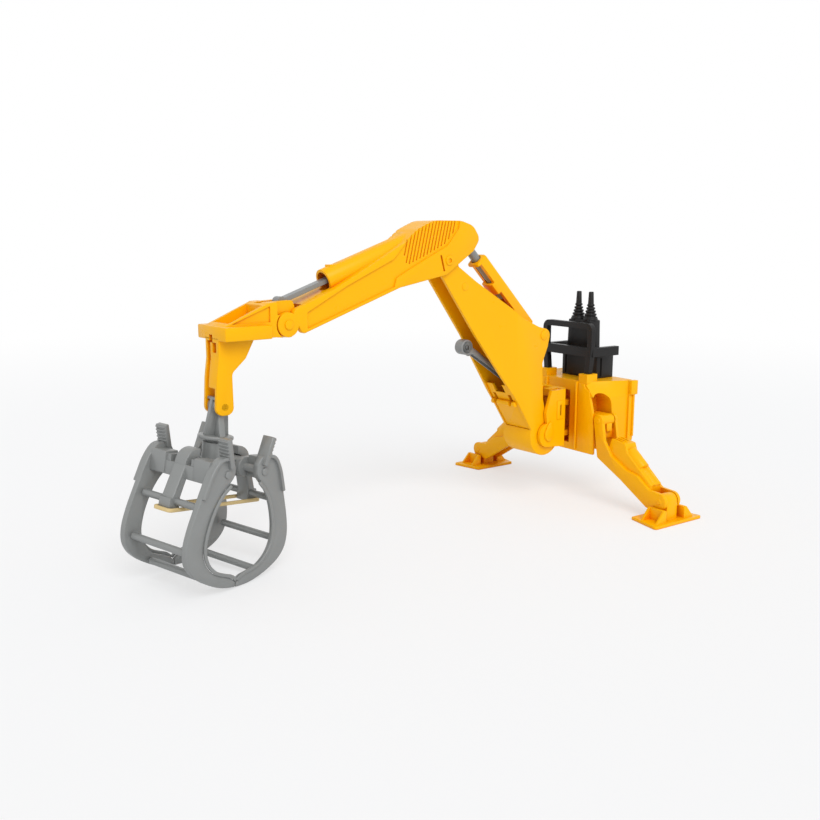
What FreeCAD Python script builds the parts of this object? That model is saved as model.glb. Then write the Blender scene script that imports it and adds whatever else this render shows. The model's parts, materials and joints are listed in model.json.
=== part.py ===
import FreeCAD, Part
import Sketcher
import math
import os
from FreeCAD import Placement, Rotation, Vector

# Toy rear arm with a timber grapple, moulded in ABS, as it stands on a table.
# Millimetres. +X points from the base towards the grapple, +Y to the left outrigger, +Z up.
# Sizes are given from the slewing axis and the floor. The last step moves the origin to the
# middle of the whole object's underside.

SIZES = (
    # name, value, what it is
    ("slew_angle", 3.6, "degrees the arm stands turned to the left"),
    ("swing_angle", 8.5, "degrees the grapple leans outwards on its pin"),
    ("grapple_turn", 16.4, "degrees the grapple is turned on its rotator"),
    ("fit", 0.06, "radial gap round a pin"),
    ("pin_ease", 0.3, "eased edge at a pin's ends"),
    ("gap", 0.3, "gap between faces of moving pieces"),
    ("wall", 1.6, "usual moulded wall"),
    # base frame
    ("base_front", 3.0, "front face behind the slewing axis"),
    ("base_rear", 27.0, "side walls' rear end behind the slewing axis"),
    ("base_plate", 4.0, "rear plate thickness"),
    ("base_plate_half", 28.7, "rear plate half width"),
    ("base_top", 66.0, "top face"),
    ("base_bottom", 26.0, "underside"),
    ("front_top_half", 17.5, "front half width at the top"),
    ("front_mid_half", 25.0, "front half width at the shoulder"),
    ("front_low_half", 27.0, "front half width low down"),
    ("rear_half", 27.6, "side half width at the rear"),
    ("shoulder_z", 57.5, "shoulder height"),
    ("hip_z", 47.0, "hip height"),
    ("plate_round", 3.0, "rear plate corner radius"),
    ("recess_half", 6.6, "king pin recess half width"),
    ("recess_depth", 7.0, "king pin recess depth"),
    ("recess_low", 30.0, "king pin recess low end"),
    ("recess_high", 60.0, "king pin recess high end"),
    ("lug_radius", 4.6, "king pin lug radius"),
    ("lug_thick", 3.0, "king pin lug thickness"),
    ("lower_lug_z", 33.5, "lower king pin lug underside"),
    ("upper_lug_z", 51.0, "upper king pin lug underside"),
    ("king_radius", 1.8, "king pin radius"),
    ("king_head", 2.8, "king pin head radius"),
    ("king_head_thick", 1.4, "king pin head thickness"),
    ("pocket_half", 7.2, "side pocket half length"),
    ("pocket_depth", 12.0, "side pocket depth"),
    ("pocket_top", 60.0, "side pocket arch top"),
    ("hollow_half", 13.5, "inner hollow half width"),
    ("boss_long", 8.0, "guard boss length"),
    ("boss_wide", 6.4, "guard boss width"),
    ("boss_high", 4.0, "guard boss height"),
    ("hitch_half", 14.0, "lower hitch lug distance from the middle"),
    ("hitch_z", 36.0, "lower hitch bore height"),
    ("hitch_top_z", 58.0, "upper hitch bore height"),
    ("hitch_reach", 5.0, "hitch bore behind the rear plate"),
    ("hitch_radius", 3.6, "hitch lug radius"),
    ("hitch_bore", 1.6, "hitch bore radius"),
    ("hitch_thick", 3.2, "hitch lug thickness"),
    # guard rail and lever console
    ("rail_x", 7.0, "guard rail behind the slewing axis"),
    ("rail_foot_half", 16.0, "guard rail foot half width"),
    ("rail_top_half", 17.6, "guard rail half width at the top"),
    ("rail_thick", 3.2, "guard rail bar"),
    ("rail_top", 98.0, "guard rail top"),
    ("rail_round", 4.2, "guard rail bend radius"),
    ("band_low", 79.4, "cross band underside"),
    ("band_high", 84.4, "cross band top"),
    ("arm_rest_end", 27.5, "side arms' rear end behind the slewing axis"),
    ("box_front", 16.0, "console box front behind the slewing axis"),
    ("box_rear", 29.5, "console box rear behind the slewing axis"),
    ("box_half", 13.6, "console box half width"),
    ("box_top", 79.0, "console box top"),
    ("tower_front", 15.0, "console tower front behind the slewing axis"),
    ("tower_rear", 23.0, "console tower rear behind the slewing axis"),
    ("tower_half", 9.2, "console tower half width"),
    ("tower_top", 98.6, "console tower top"),
    ("lever_half", 4.7, "lever distance from the middle"),
    ("boot_radius", 4.1, "lever boot foot radius"),
    ("boot_top_radius", 2.0, "lever boot top radius"),
    ("boot_high", 9.6, "lever boot height"),
    ("boot_rings", 5.0, "rings on a lever boot"),
    ("grip_radius", 1.7, "lever grip radius"),
    ("grip_high", 6.4, "lever grip height"),
    # slew post
    ("foot_x", 21.0, "boom foot pin ahead of the slewing axis"),
    ("foot_z", 38.0, "boom foot pin height"),
    ("foot_pin", 2.2, "boom foot pin radius"),
    ("ear_radius", 6.6, "post ear radius"),
    ("ear_thick", 2.0, "post ear thickness"),
    ("post_back", 4.6, "post back wall rear face"),
    ("post_back_thick", 4.0, "post back wall thickness"),
    ("post_corner", 3.4, "post back corner, cut back so that it can slew"),
    ("post_top", 62.4, "post top"),
    ("post_bottom", 30.0, "post bottom"),
    ("post_front", 19.0, "post ears' front edge at the top"),
    ("cap_thick", 4.0, "post top plate thickness"),
    ("cap_half", 7.6, "post top plate half width"),
    ("cap_front", 15.5, "post top plate front edge"),
    ("hub_radius", 4.6, "king pin hub radius"),
    ("lift_x", 11.6, "lift rod pin ahead of the slewing axis"),
    ("lift_z", 50.0, "lift rod pin height"),
    ("lift_pin", 1.4, "lift rod pin radius"),
    ("lift_lug", 2.8, "lift rod lug radius"),
    ("lug_web", 2.0, "lift rod lug thickness"),
    # boom
    ("boom_half", 6.85, "boom half width"),
    ("boom_foot_half", 10.5, "boom half width at the foot"),
    ("boom_inner", 5.25, "boom channel half width"),
    ("boom_foot_inner", 8.7, "boom channel half width at the foot"),
    ("boom_foot_radius", 11.5, "boom foot radius"),
    ("boom_edge_radius", 337.0, "boom front edge radius"),
    ("elbow_x", 90.0, "elbow pin ahead of the slewing axis"),
    ("elbow_z", 133.5, "elbow pin height"),
    ("elbow_pin", 2.4, "elbow pin radius"),
    ("horn_x", 24.0, "horn pin ahead of the slewing axis"),
    ("horn_z", 93.0, "horn pin height"),
    ("horn_radius", 5.2, "horn end radius"),
    ("horn_pin", 1.8, "horn pin radius"),
    ("rod_slot_half", 3.6, "lift rod slot half width"),
    ("cover_thick", 2.0, "boom front cover thickness"),
    # lift rod
    ("lift_long", 72.3, "lift rod pin to its round end"),
    ("lift_half", 2.7, "lift rod half width"),
    ("lift_end", 3.9, "lift rod round end radius"),
    # stick cylinder
    ("barrel_radius", 4.3, "stick cylinder barrel radius"),
    ("barrel_bore", 2.7, "stick cylinder bore radius"),
    ("barrel_start", 8.5, "barrel's low end from the horn pin"),
    ("barrel_end", 57.5, "barrel's high end from the horn pin"),
    ("barrel_eye", 3.4, "barrel eye radius"),
    ("barrel_eye_half", 4.3, "barrel eye half width"),
    ("piston_radius", 2.3, "stick piston radius"),
    ("piston_start", 30.0, "piston's low end from the horn pin"),
    ("piston_eye_at", 73.5, "piston eye from the horn pin"),
    ("piston_eye", 2.3, "piston eye radius"),
    ("piston_eye_half", 2.6, "piston eye half width"),
    # stick
    ("stick_half", 8.5, "stick half width"),
    ("stick_inner", 7.15, "stick hollow half width"),
    ("tip_x", 181.2, "stick tip pin ahead of the slewing axis"),
    ("tip_z", 107.6, "stick tip pin height"),
    ("tip_radius", 5.4, "stick tip radius"),
    ("tip_pin", 2.1, "stick tip pin radius"),
    ("tube_x", 157.5, "tilt tube mouth ahead of the slewing axis"),
    ("tube_z", 125.2, "tilt tube mouth height"),
    ("tube_slope", 19.0, "degrees the tilt tube rises rearwards"),
    ("tube_long", 47.0, "tilt tube length"),
    ("tube_radius", 4.6, "tilt tube radius"),
    ("tube_bore", 3.4, "tilt tube bore radius"),
    ("tube_bore_long", 34.0, "tilt tube bore length"),
    # tool carrier
    ("carrier_inner", 8.95, "carrier fork inner half width"),
    ("carrier_outer", 10.8, "carrier fork outer half width"),
    ("collar_half", 12.7, "carrier collar half width"),
    ("collar_rear", 198.0, "carrier collar rear edge"),
    ("collar_front", 213.4, "carrier collar front edge"),
    ("collar_low", 102.0, "carrier collar underside"),
    ("collar_high", 107.8, "carrier collar top"),
    ("bracket_half", 6.0, "hanging bracket half width"),
    ("bracket_inner", 4.2, "hanging bracket inner half width"),
    ("hang_x", 211.4, "hanger pin ahead of the slewing axis"),
    ("hang_z", 74.64, "hanger pin height"),
    ("hang_radius", 3.5, "hanging bracket end radius"),
    ("hang_pin", 1.8, "hanger pin radius"),
    ("tilt_eye_x", 180.6, "tilt rod eye ahead of the slewing axis"),
    ("tilt_eye_z", 117.2, "tilt rod eye height"),
    ("tilt_eye_radius", 2.2, "tilt rod eye radius"),
    ("tilt_rod_half", 2.2, "tilt rod half width"),
    ("tilt_rod_thick", 2.0, "tilt rod thickness"),
    ("tilt_rod_long", 48.0, "tilt rod length"),
    # grapple, from the hanger pin down
    ("hanger_top", 3.6, "hanger top above its pin"),
    ("hanger_top_half", 3.6, "hanger half width at its top"),
    ("hanger_low_half", 5.6, "hanger half width at its disc"),
    ("hanger_thick_half", 3.9, "hanger half thickness in the bracket"),
    ("disc_low", 14.2, "hanger disc underside below the pin"),
    ("disc_thick", 1.6, "hanger disc thickness"),
    ("disc_radius", 7.6, "hanger disc radius"),
    ("neck_radius", 3.4, "rotator neck radius"),
    ("turn_radius", 5.2, "rotator radius"),
    ("turn_top", 15.6, "rotator top below the pin"),
    ("turn_low", 22.4, "rotator underside below the pin"),
    ("head_low", 33.0, "grapple head underside below the pin"),
    ("head_half", 5.2, "grapple head half thickness across the jaws"),
    ("head_wide", 5.8, "grapple head half width along the bars"),
    ("jaw_pin_x", 10.6, "jaw pin from the middle"),
    ("jaw_pin_drop", 25.4, "jaw pin below the hanger pin"),
    ("jaw_pin", 1.7, "jaw pin radius"),
    ("jaw_pin_half", 15.0, "jaw pin half length"),
    ("head_lug", 3.9, "grapple head lug radius"),
    ("arm_outer", 19.5, "jaw arms' outer faces from the middle"),
    ("arm_thick", 3.4, "jaw arm thickness"),
    ("bar_radius", 1.5, "jaw bar radius"),
    ("hub_half", 4.3, "jaw hub half thickness"),
    ("tab_wide", 6.8, "jaw tab width"),
    ("tab_thick", 2.6, "jaw tab thickness"),
    ("tab_high", 9.2, "jaw tab height"),
    ("strap_half", 4.0, "jaw strap half width"),
    ("strap_thick", 2.0, "jaw strap thickness"),
    ("jaw_split", 0.35, "half gap between the jaws at the tips"),
    ("rubber_radius", 0.8, "rubber band thickness radius"),
    # outriggers and feet
    ("side_x", 8.0, "outriggers behind the slewing axis"),
    ("knee_y", 29.5, "outrigger pin beside the middle"),
    ("knee_z", 46.0, "outrigger pin height"),
    ("knee_radius", 3.4, "outrigger knuckle radius"),
    ("knee_pin", 1.5, "outrigger pin radius"),
    ("leg_half", 6.3, "outrigger half thickness"),
    ("leg_wall", 2.2, "outrigger side wall"),
    ("ankle_y", 73.5, "foot pin beside the middle"),
    ("ankle_z", 10.6, "foot pin height"),
    ("ankle_radius", 4.4, "outrigger end radius"),
    ("ankle_pin", 1.5, "foot pin radius"),
    ("foot_knuckle_half", 3.9, "foot knuckle half thickness"),
    ("pad_inner_y", 62.8, "foot pad inner edge"),
    ("pad_outer_y", 82.5, "foot pad outer edge"),
    ("pad_inner_half", 14.0, "foot pad half length at the inner edge"),
    ("pad_outer_half", 18.2, "foot pad half length at the outer edge"),
    ("pad_thick", 1.6, "foot pad thickness"),
)

# Outlines. name, along x, along z, corner radius
BOOM = (
    ("boom_nose", 96.5, 131.0, 3.0),
    ("boom_crown", 95.0, 139.5, 5.0),
    ("boom_back", 83.5, 139.0, 5.0),
    ("boom_neck", 82.0, 130.4, 1.0),
    ("boom_bend", 39.0, 102.6, 2.0),
    ("horn_top", 27.5, 97.6, 1.5),
    ("horn_tip", 18.4, 95.5, 4.0),
    ("horn_low", 20.6, 86.6, 3.5),
    ("boom_rear", 24.4, 78.0, 2.0),
    ("boom_heel", 23.2, 58.0, 0.0),
    ("boom_sole", 19.5, 44.0, 0.0),
    ("boom_toe", 31.2, 41.0, 0.0),
    ("boom_shin", 41.4, 56.4, 0.0),
)
STICK = (
    ("stick_chin", 174.0, 103.0, 2.0),
    ("stick_belly", 120.0, 121.4, 2.0),
    ("stick_throat", 91.4, 126.6, 3.0),
    ("stick_nape", 74.0, 137.8, 3.0),
    ("stick_rear", 69.6, 144.0, 4.0),
    ("stick_crown", 78.0, 152.6, 9.0),
    ("stick_brow", 104.0, 152.6, 9.0),
    ("stick_shoulder", 116.0, 143.4, 4.0),
    ("stick_deck", 157.0, 122.0, 2.0),
    ("stick_end", 180.0, 113.2, 3.0),
)
CARRIER = (
    ("fork_top", 177.2, 118.0, 2.0),
    ("fork_wall", 190.5, 117.4, 1.0),
    ("fork_front", 211.6, 108.4, 0.8),
    ("fork_lip", 211.6, 102.6, 0.8),
    ("fork_low", 187.4, 102.6, 0.0),
    ("fork_chin", 177.0, 101.6, 3.0),
    ("fork_rear", 174.6, 109.0, 3.0),
)
BRACKET = (
    ("bracket_rear", 196.4, 104.0, 0.5),
    ("bracket_hip", 201.4, 94.6, 4.0),
    ("bracket_waist", 207.6, 88.4, 3.0),
    ("bracket_heel", 207.4, 71.0, 3.2),
    ("bracket_toe", 215.4, 71.0, 3.2),
    ("bracket_shin", 213.6, 86.6, 3.0),
    ("bracket_chest", 217.0, 95.0, 4.0),
    ("bracket_front", 217.0, 104.0, 0.5),
)
JAW_ARM = (
    # name, from the middle, below the hanger pin, corner radius
    ("arm_crown", 6.0, 20.0, 4.0),
    ("arm_shoulder", 17.6, 19.4, 4.0),
    ("arm_side", 26.6, 40.0, 24.0),
    ("arm_wide", 30.6, 54.0, 9.0),
    ("arm_heel", 20.5, 70.0, 16.0),
    ("arm_tip", 0.6, 74.6, 0.4),
    ("arm_tip_in", 0.6, 69.6, 0.4),
    ("arm_sole", 14.0, 66.0, 9.0),
    ("arm_hollow", 21.4, 54.0, 8.0),
    ("arm_chest", 14.6, 38.0, 14.0),
    ("arm_throat", 9.4, 30.0, 4.0),
)
# bar, from the middle, below the hanger pin
BARS = (
    ("upper_bar", 21.4, 38.8),
    ("middle_bar", 25.2, 57.0),
    ("lower_bar", 14.6, 69.2),
)
LEG = (
    # name, beside the middle, height, corner radius
    ("leg_top", 29.0, 49.4, 2.0),
    ("leg_shelf", 36.0, 49.0, 3.0),
    ("leg_back", 44.0, 41.0, 0.0),
    ("leg_wrist", 74.0, 16.4, 5.0),
    ("leg_end", 79.0, 11.0, 4.0),
    ("leg_sole", 74.0, 5.6, 4.0),
    ("leg_shin", 66.0, 5.6, 3.0),
    ("leg_low", 31.0, 24.4, 2.0),
    ("leg_inner", 28.4, 27.0, 1.0),
)

VALUES = {}
doc = FreeCAD.newDocument("grapple_arm")
sheet = doc.addObject("Spreadsheet::Sheet", "sizes")


def fill_sheet():
    """Writes every named size into a row of the sheet."""
    rows = list(SIZES)
    for table in (BOOM, STICK, CARRIER, BRACKET, JAW_ARM, LEG):
        for name, across, up, corner in table:
            rows.append((name + "_a", across, name + " across"))
            rows.append((name + "_b", up, name + " height or drop"))
            rows.append((name + "_c", corner, name + " corner radius"))
    for name, across, drop in BARS:
        rows.append((name + "_a", across, name + " from the middle"))
        rows.append((name + "_b", drop, name + " below the hanger pin"))
    for row, (alias, value, meaning) in enumerate(rows, 1):
        sheet.set("A%d" % row, meaning)
        sheet.set("B%d" % row, str(value))
        sheet.setAlias("B%d" % row, alias)
        VALUES[alias] = float(value)
    doc.recompute()


class Size:
    """A size with its value and the expression that ties it to the sheet."""

    def __init__(self, text, value):
        self.text = text
        self.value = value

    def __add__(self, other):
        other = as_size(other)
        return Size("(%s + %s)" % (self.text, other.text), self.value + other.value)

    def __sub__(self, other):
        other = as_size(other)
        return Size("(%s - %s)" % (self.text, other.text), self.value - other.value)

    def __mul__(self, other):
        other = as_size(other)
        return Size("(%s * %s)" % (self.text, other.text), self.value * other.value)

    def __neg__(self):
        return Size("(0 - %s)" % self.text, -self.value)

    def __radd__(self, other):
        return as_size(other) + self

    def __rsub__(self, other):
        return as_size(other) - self


def as_size(number):
    """A plain number as a size of its own."""
    return number if isinstance(number, Size) else Size(repr(float(number)), float(number))


class Sizes:
    """Gives every named size as an attribute."""

    def __getattr__(self, alias):
        return Size("sizes." + alias, VALUES[alias])


z = Sizes()


def bind(thing, name, value):
    """Ties one property to a size."""
    thing.setExpression(name, as_size(value).text)


def spot(thing, x, y, height):
    """Puts a primitive's corner or centre at a named place."""
    for axis, value in (("x", x), ("y", y), ("z", height)):
        bind(thing, "Placement.Base." + axis, value)


def block(name, x, y, height):
    """A box between the low and high sizes of each axis."""
    box = doc.addObject("Part::Box", name)
    bind(box, "Length", as_size(x[1]) - x[0])
    bind(box, "Width", as_size(y[1]) - y[0])
    bind(box, "Height", as_size(height[1]) - height[0])
    spot(box, x[0], y[0], height[0])
    return box


TURNS = {"x": Rotation(Vector(0, 1, 0), 90), "y": Rotation(Vector(1, 0, 0), -90), "z": Rotation()}


def rod(name, axis, radius, start, length):
    """A round rod from its start point along +x, +y or +z."""
    cylinder = doc.addObject("Part::Cylinder", name)
    cylinder.Placement = Placement(Vector(), TURNS[axis])
    bind(cylinder, "Radius", radius)
    bind(cylinder, "Height", length)
    spot(cylinder, *start)
    return cylinder


def across(name, radius, x, height, half):
    """A rod through the middle plane, along y."""
    return rod(name, "y", radius, (x, -as_size(half), height), as_size(half) * 2)


def pin(label, axis, radius, start, length, placement):
    """A pin with both ends eased, named and set where it stands."""
    ease = VALUES["pin_ease"]
    eased = doc.addObject("Part::Chamfer", label)
    eased.Base = rod(label + "_rod", axis, radius, start, length)
    eased.Edges = [(1, ease, ease), (3, ease, ease)]
    placed(eased, label, placement)


def cross_pin(label, radius, x, height, half, placement):
    """A pin through the middle plane, along y."""
    pin(label, "y", radius, (x, -as_size(half), height), as_size(half) * 2, placement)


def fuse(name, things):
    """One solid from several."""
    joined = doc.addObject("Part::MultiFuse", name)
    joined.Shapes = list(things)
    return joined


def cut(name, thing, tools):
    """A solid less its tools."""
    tool = tools[0] if len(tools) == 1 else fuse(name + "_tools", tools)
    less = doc.addObject("Part::Cut", name)
    less.Base = thing
    less.Tool = tool
    return less


def new_body(name):
    return doc.addObject("PartDesign::Body", name)


def plane_of(body, role):
    return [item for item in body.Origin.OriginFeatures if item.Role == role][0]


def outline(body, name, corners, role="XZ_Plane"):
    """A closed sketch through named corners, each held by its two sizes."""
    sketch = body.newObject("Sketcher::SketchObject", name)
    sketch.AttachmentSupport = [(plane_of(body, role), "")]
    sketch.MapMode = "FlatFace"
    points = [Vector(as_size(a).value, as_size(b).value, 0) for a, b in corners]
    count = len(points)
    for here in range(count):
        sketch.addGeometry(Part.LineSegment(points[here], points[(here + 1) % count]), False)
    for here in range(count):
        sketch.addConstraint(Sketcher.Constraint("Coincident", here, 2, (here + 1) % count, 1))
    for here, (a, b) in enumerate(corners):
        for kind, value in (("DistanceX", a), ("DistanceY", b)):
            value = as_size(value)
            index = sketch.addConstraint(Sketcher.Constraint(kind, -1, 1, here, 1, value.value))
            sketch.setExpression("Constraints[%d]" % index, value.text)
    return sketch


def pad(body, name, sketch, length):
    """A pad to both sides of its sketch."""
    feature = body.newObject("PartDesign::Pad", name)
    feature.Profile = sketch
    feature.SideType = "Symmetric"
    bind(feature, "Length", length)
    sketch.Visibility = False
    return feature


def pocket(body, name, sketch, length):
    """A pocket to both sides of its sketch."""
    feature = body.newObject("PartDesign::Pocket", name)
    feature.Profile = sketch
    feature.SideType = "Symmetric"
    bind(feature, "Length", length)
    return feature


def table_corners(table):
    """The corners that a table names, as sizes."""
    return [(getattr(z, row[0] + "_a"), getattr(z, row[0] + "_b")) for row in table]


def fillet(body, name, edges, radius):
    """Rounds the named edges of a body's last feature."""
    last = body.Tip
    rounding = body.newObject("PartDesign::Fillet", name)
    rounding.Base = (last, edges)
    bind(rounding, "Radius", radius)
    body.Tip = rounding
    doc.recompute()


def round_corners(body, table, flat=(0, 2), drop=1.0):
    """Fillets the pad edges that stand over each named corner of a table."""
    doc.recompute()
    for name, _, _, corner in table:
        if corner <= 0:
            continue
        a = VALUES[name + "_a"]
        b = drop * VALUES[name + "_b"]
        shape = body.Shape
        found = []
        for number, edge in enumerate(shape.Edges, 1):
            spots = [tuple(vertex.Point) for vertex in edge.Vertexes]
            if all(abs(p[flat[0]] - a) < 0.01 and abs(p[flat[1]] - b) < 0.01 for p in spots):
                found.append("Edge%d" % number)
        if not found:
            raise RuntimeError("no edge stands over " + name)
        fillet(body, "round_" + name, found, getattr(z, name + "_c"))
    return body


def plate(name, table, half):
    """A rounded plate of a table's outline, both sides of the middle plane."""
    body = new_body(name)
    sketch = outline(body, name + "_outline", table_corners(table))
    body.Tip = pad(body, name + "_pad", sketch, as_size(half) * 2)
    return round_corners(body, table)


def prism(name, corners, half, role="XZ_Plane"):
    """A straight-edged plate both sides of the middle plane."""
    body = new_body(name)
    sketch = outline(body, name + "_outline", corners, role)
    body.Tip = pad(body, name + "_pad", sketch, as_size(half) * 2)
    return body


NODES = []
SIDES = (("left", 1), ("right", -1))


def placed(thing, label, placement):
    """Names a finished piece and sets it where it stands."""
    thing.Label = label
    thing.Placement = placement.multiply(thing.Placement)
    NODES.append(thing)


def turned(angle, axis):
    return Placement(Vector(), Rotation(axis, angle))


fill_sheet()
X = Vector(1, 0, 0)
Y = Vector(0, 1, 0)
Z = Vector(0, 0, 1)
STILL = Placement()
ARM = turned(VALUES["slew_angle"], Z)
HANG = ARM.multiply(Placement(Vector(VALUES["hang_x"], 0, VALUES["hang_z"]), Rotation()))
HANG = HANG.multiply(turned(-VALUES["swing_angle"], Y))
GRAPPLE = HANG.multiply(turned(VALUES["grapple_turn"], Z))


# Base frame: a moulded housing, narrow in front, with an arched pocket for each outrigger.
def base_section(body, name, offset, top, shoulder, hip):
    """One cross section of the housing, a distance behind the slewing axis."""
    corners = [(top, z.base_top), (shoulder, z.shoulder_z), (hip, z.hip_z), (hip, z.base_bottom)]
    mirrored = [(-a, b) for a, b in reversed(corners)]
    sketch = outline(body, name, corners + mirrored, "YZ_Plane")
    bind(sketch, "AttachmentOffset.Base.z", -offset)
    return sketch


def make_base():
    housing = new_body("housing")
    front = base_section(housing, "front_section", z.base_front, z.front_top_half,
                         z.front_mid_half, z.front_low_half)
    rear = base_section(housing, "rear_section", z.base_rear, z.rear_half, z.rear_half, z.rear_half)
    loft = housing.newObject("PartDesign::AdditiveLoft", "housing_loft")
    loft.Profile = front
    loft.Sections = [rear]
    loft.Ruled = True
    housing.Tip = loft

    plate_body = new_body("rear_plate")
    low = z.base_bottom + 4
    sketch = outline(plate_body, "rear_plate_outline",
                     [(-z.base_plate_half, low), (z.base_plate_half, low),
                      (z.base_plate_half, z.base_top), (-z.base_plate_half, z.base_top)], "YZ_Plane")
    bind(sketch, "AttachmentOffset.Base.z", -z.base_rear - z.base_plate * 0.5)
    plate_body.Tip = pad(plate_body, "rear_plate_pad", sketch, z.base_plate)
    doc.recompute()
    corner_edges = []
    for number, edge in enumerate(plate_body.Shape.Edges, 1):
        if abs(edge.tangentAt(edge.FirstParameter).x) > 0.9:
            corner_edges.append("Edge%d" % number)
    fillet(plate_body, "rear_plate_rounds", corner_edges, z.plate_round)

    solids = [housing, plate_body]
    for side, sign in SIDES:
        middle = z.rail_foot_half * sign
        solids.append(block("guard_boss_" + side,
                            (-z.rail_x - z.boss_long * 0.5, -z.rail_x + z.boss_long * 0.5),
                            (middle - z.boss_wide * 0.5, middle + z.boss_wide * 0.5),
                            (z.base_top - 1, z.base_top + z.boss_high)))
        y = z.hitch_half * sign - z.hitch_thick * 0.5
        solids.append(hitch_lug("hitch_lug_" + side, y, z.hitch_z))
    solids.append(hitch_lug("hitch_lug_top", -z.hitch_thick * 0.5, z.hitch_top_z))
    for name, low in (("lug_low", z.lower_lug_z), ("lug_high", z.upper_lug_z)):
        high = low + z.lug_thick
        solids.append(rod(name, "z", z.lug_radius, (0, 0, low), z.lug_thick))
        solids.append(block(name + "_web", (-z.base_front - z.recess_depth - 1, 0),
                            (-z.lug_radius, z.lug_radius), (low, high)))
    recess = block("king_recess", (-z.base_front - z.recess_depth, 1),
                   (-z.recess_half, z.recess_half), (z.recess_low, z.recess_high))
    shell = cut("housing_recessed", housing, [recess])
    whole = fuse("base_solids", [shell] + solids[1:])
    inner = block("inner_hollow", (-z.base_rear + z.wall, -z.base_front - z.recess_depth - z.wall * 2),
                  (-z.hollow_half, z.hollow_half), (z.base_bottom - 1, z.base_top - z.wall * 2))
    tools = [inner, rod("king_bore", "z", z.king_radius + z.fit, (0, 0, z.lower_lug_z - 1), 30)]
    for side, sign in SIDES:
        outer = z.rear_half + 4
        deep = z.rear_half - z.pocket_depth
        y = (deep, outer) if sign > 0 else (-outer, -deep)
        arch = z.pocket_top - z.pocket_half
        tools.append(block("side_pocket_" + side, (-z.side_x - z.pocket_half, -z.side_x + z.pocket_half),
                           y, (z.base_bottom - 1, arch)))
        tools.append(rod("side_arch_" + side, "y", z.pocket_half, (-z.side_x, y[0], arch), y[1] - y[0]))
        tools.append(rod("hitch_bore_" + side, "y", z.hitch_bore,
                         (-z.base_rear - z.base_plate - z.hitch_reach, z.hitch_half * sign - 4, z.hitch_z), 8))
    tools.append(rod("hitch_bore_top", "y", z.hitch_bore,
                     (-z.base_rear - z.base_plate - z.hitch_reach, -4, z.hitch_top_z), 8))
    frame = cut("frame_cut", whole, tools)
    knuckles = [frame]
    for side, sign in SIDES:
        knuckles.append(knee_knuckle(side, sign))
    whole = fuse("base_frame_solid", knuckles)
    bores = [rod("knee_bore_" + side, "x", z.knee_pin + z.fit,
                 (-z.side_x - z.leg_half - 3, z.knee_y * sign, z.knee_z), z.leg_half * 2 + 6)
             for side, sign in SIDES]
    placed(cut("base_frame", whole, bores), "base_frame", STILL)


def hitch_lug(name, y, height):
    """A hitch lug that stands back from the rear plate."""
    x = -z.base_rear - z.base_plate - z.hitch_reach
    return fuse(name, [rod(name + "_eye", "y", z.hitch_radius, (x, y, height), z.hitch_thick),
                       block(name + "_web", (x, -z.base_rear - z.base_plate * 0.5),
                             (y, y + z.hitch_thick),
                             (height - z.hitch_radius, height + z.hitch_radius))])


def knee_knuckle(side, sign):
    """The housing's knuckle between the outrigger's two ears."""
    half = z.leg_half - z.leg_wall - z.gap
    eye = rod("knee_eye_" + side, "x", z.knee_radius - 0.4,
              (-z.side_x - half, z.knee_y * sign, z.knee_z), half * 2)
    inner = z.rear_half - z.pocket_depth - 1
    y = (inner, z.knee_y) if sign > 0 else (-z.knee_y, -inner)
    web = block("knee_web_" + side, (-z.side_x - half, -z.side_x + half), y,
                (z.knee_z - z.knee_radius + 0.4, z.knee_z + z.knee_radius - 0.4))
    return fuse("knee_knuckle_" + side, [eye, web])


def make_king_pin():
    shank = rod("king_shank", "z", z.king_radius, (0, 0, z.lower_lug_z - 1),
                z.upper_lug_z + z.lug_thick - z.lower_lug_z + 1)
    head = rod("king_head_disc", "z", z.king_head, (0, 0, z.upper_lug_z + z.lug_thick), z.king_head_thick)
    placed(fuse("king_pin", [shank, head]), "king_pin", STILL)


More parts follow.
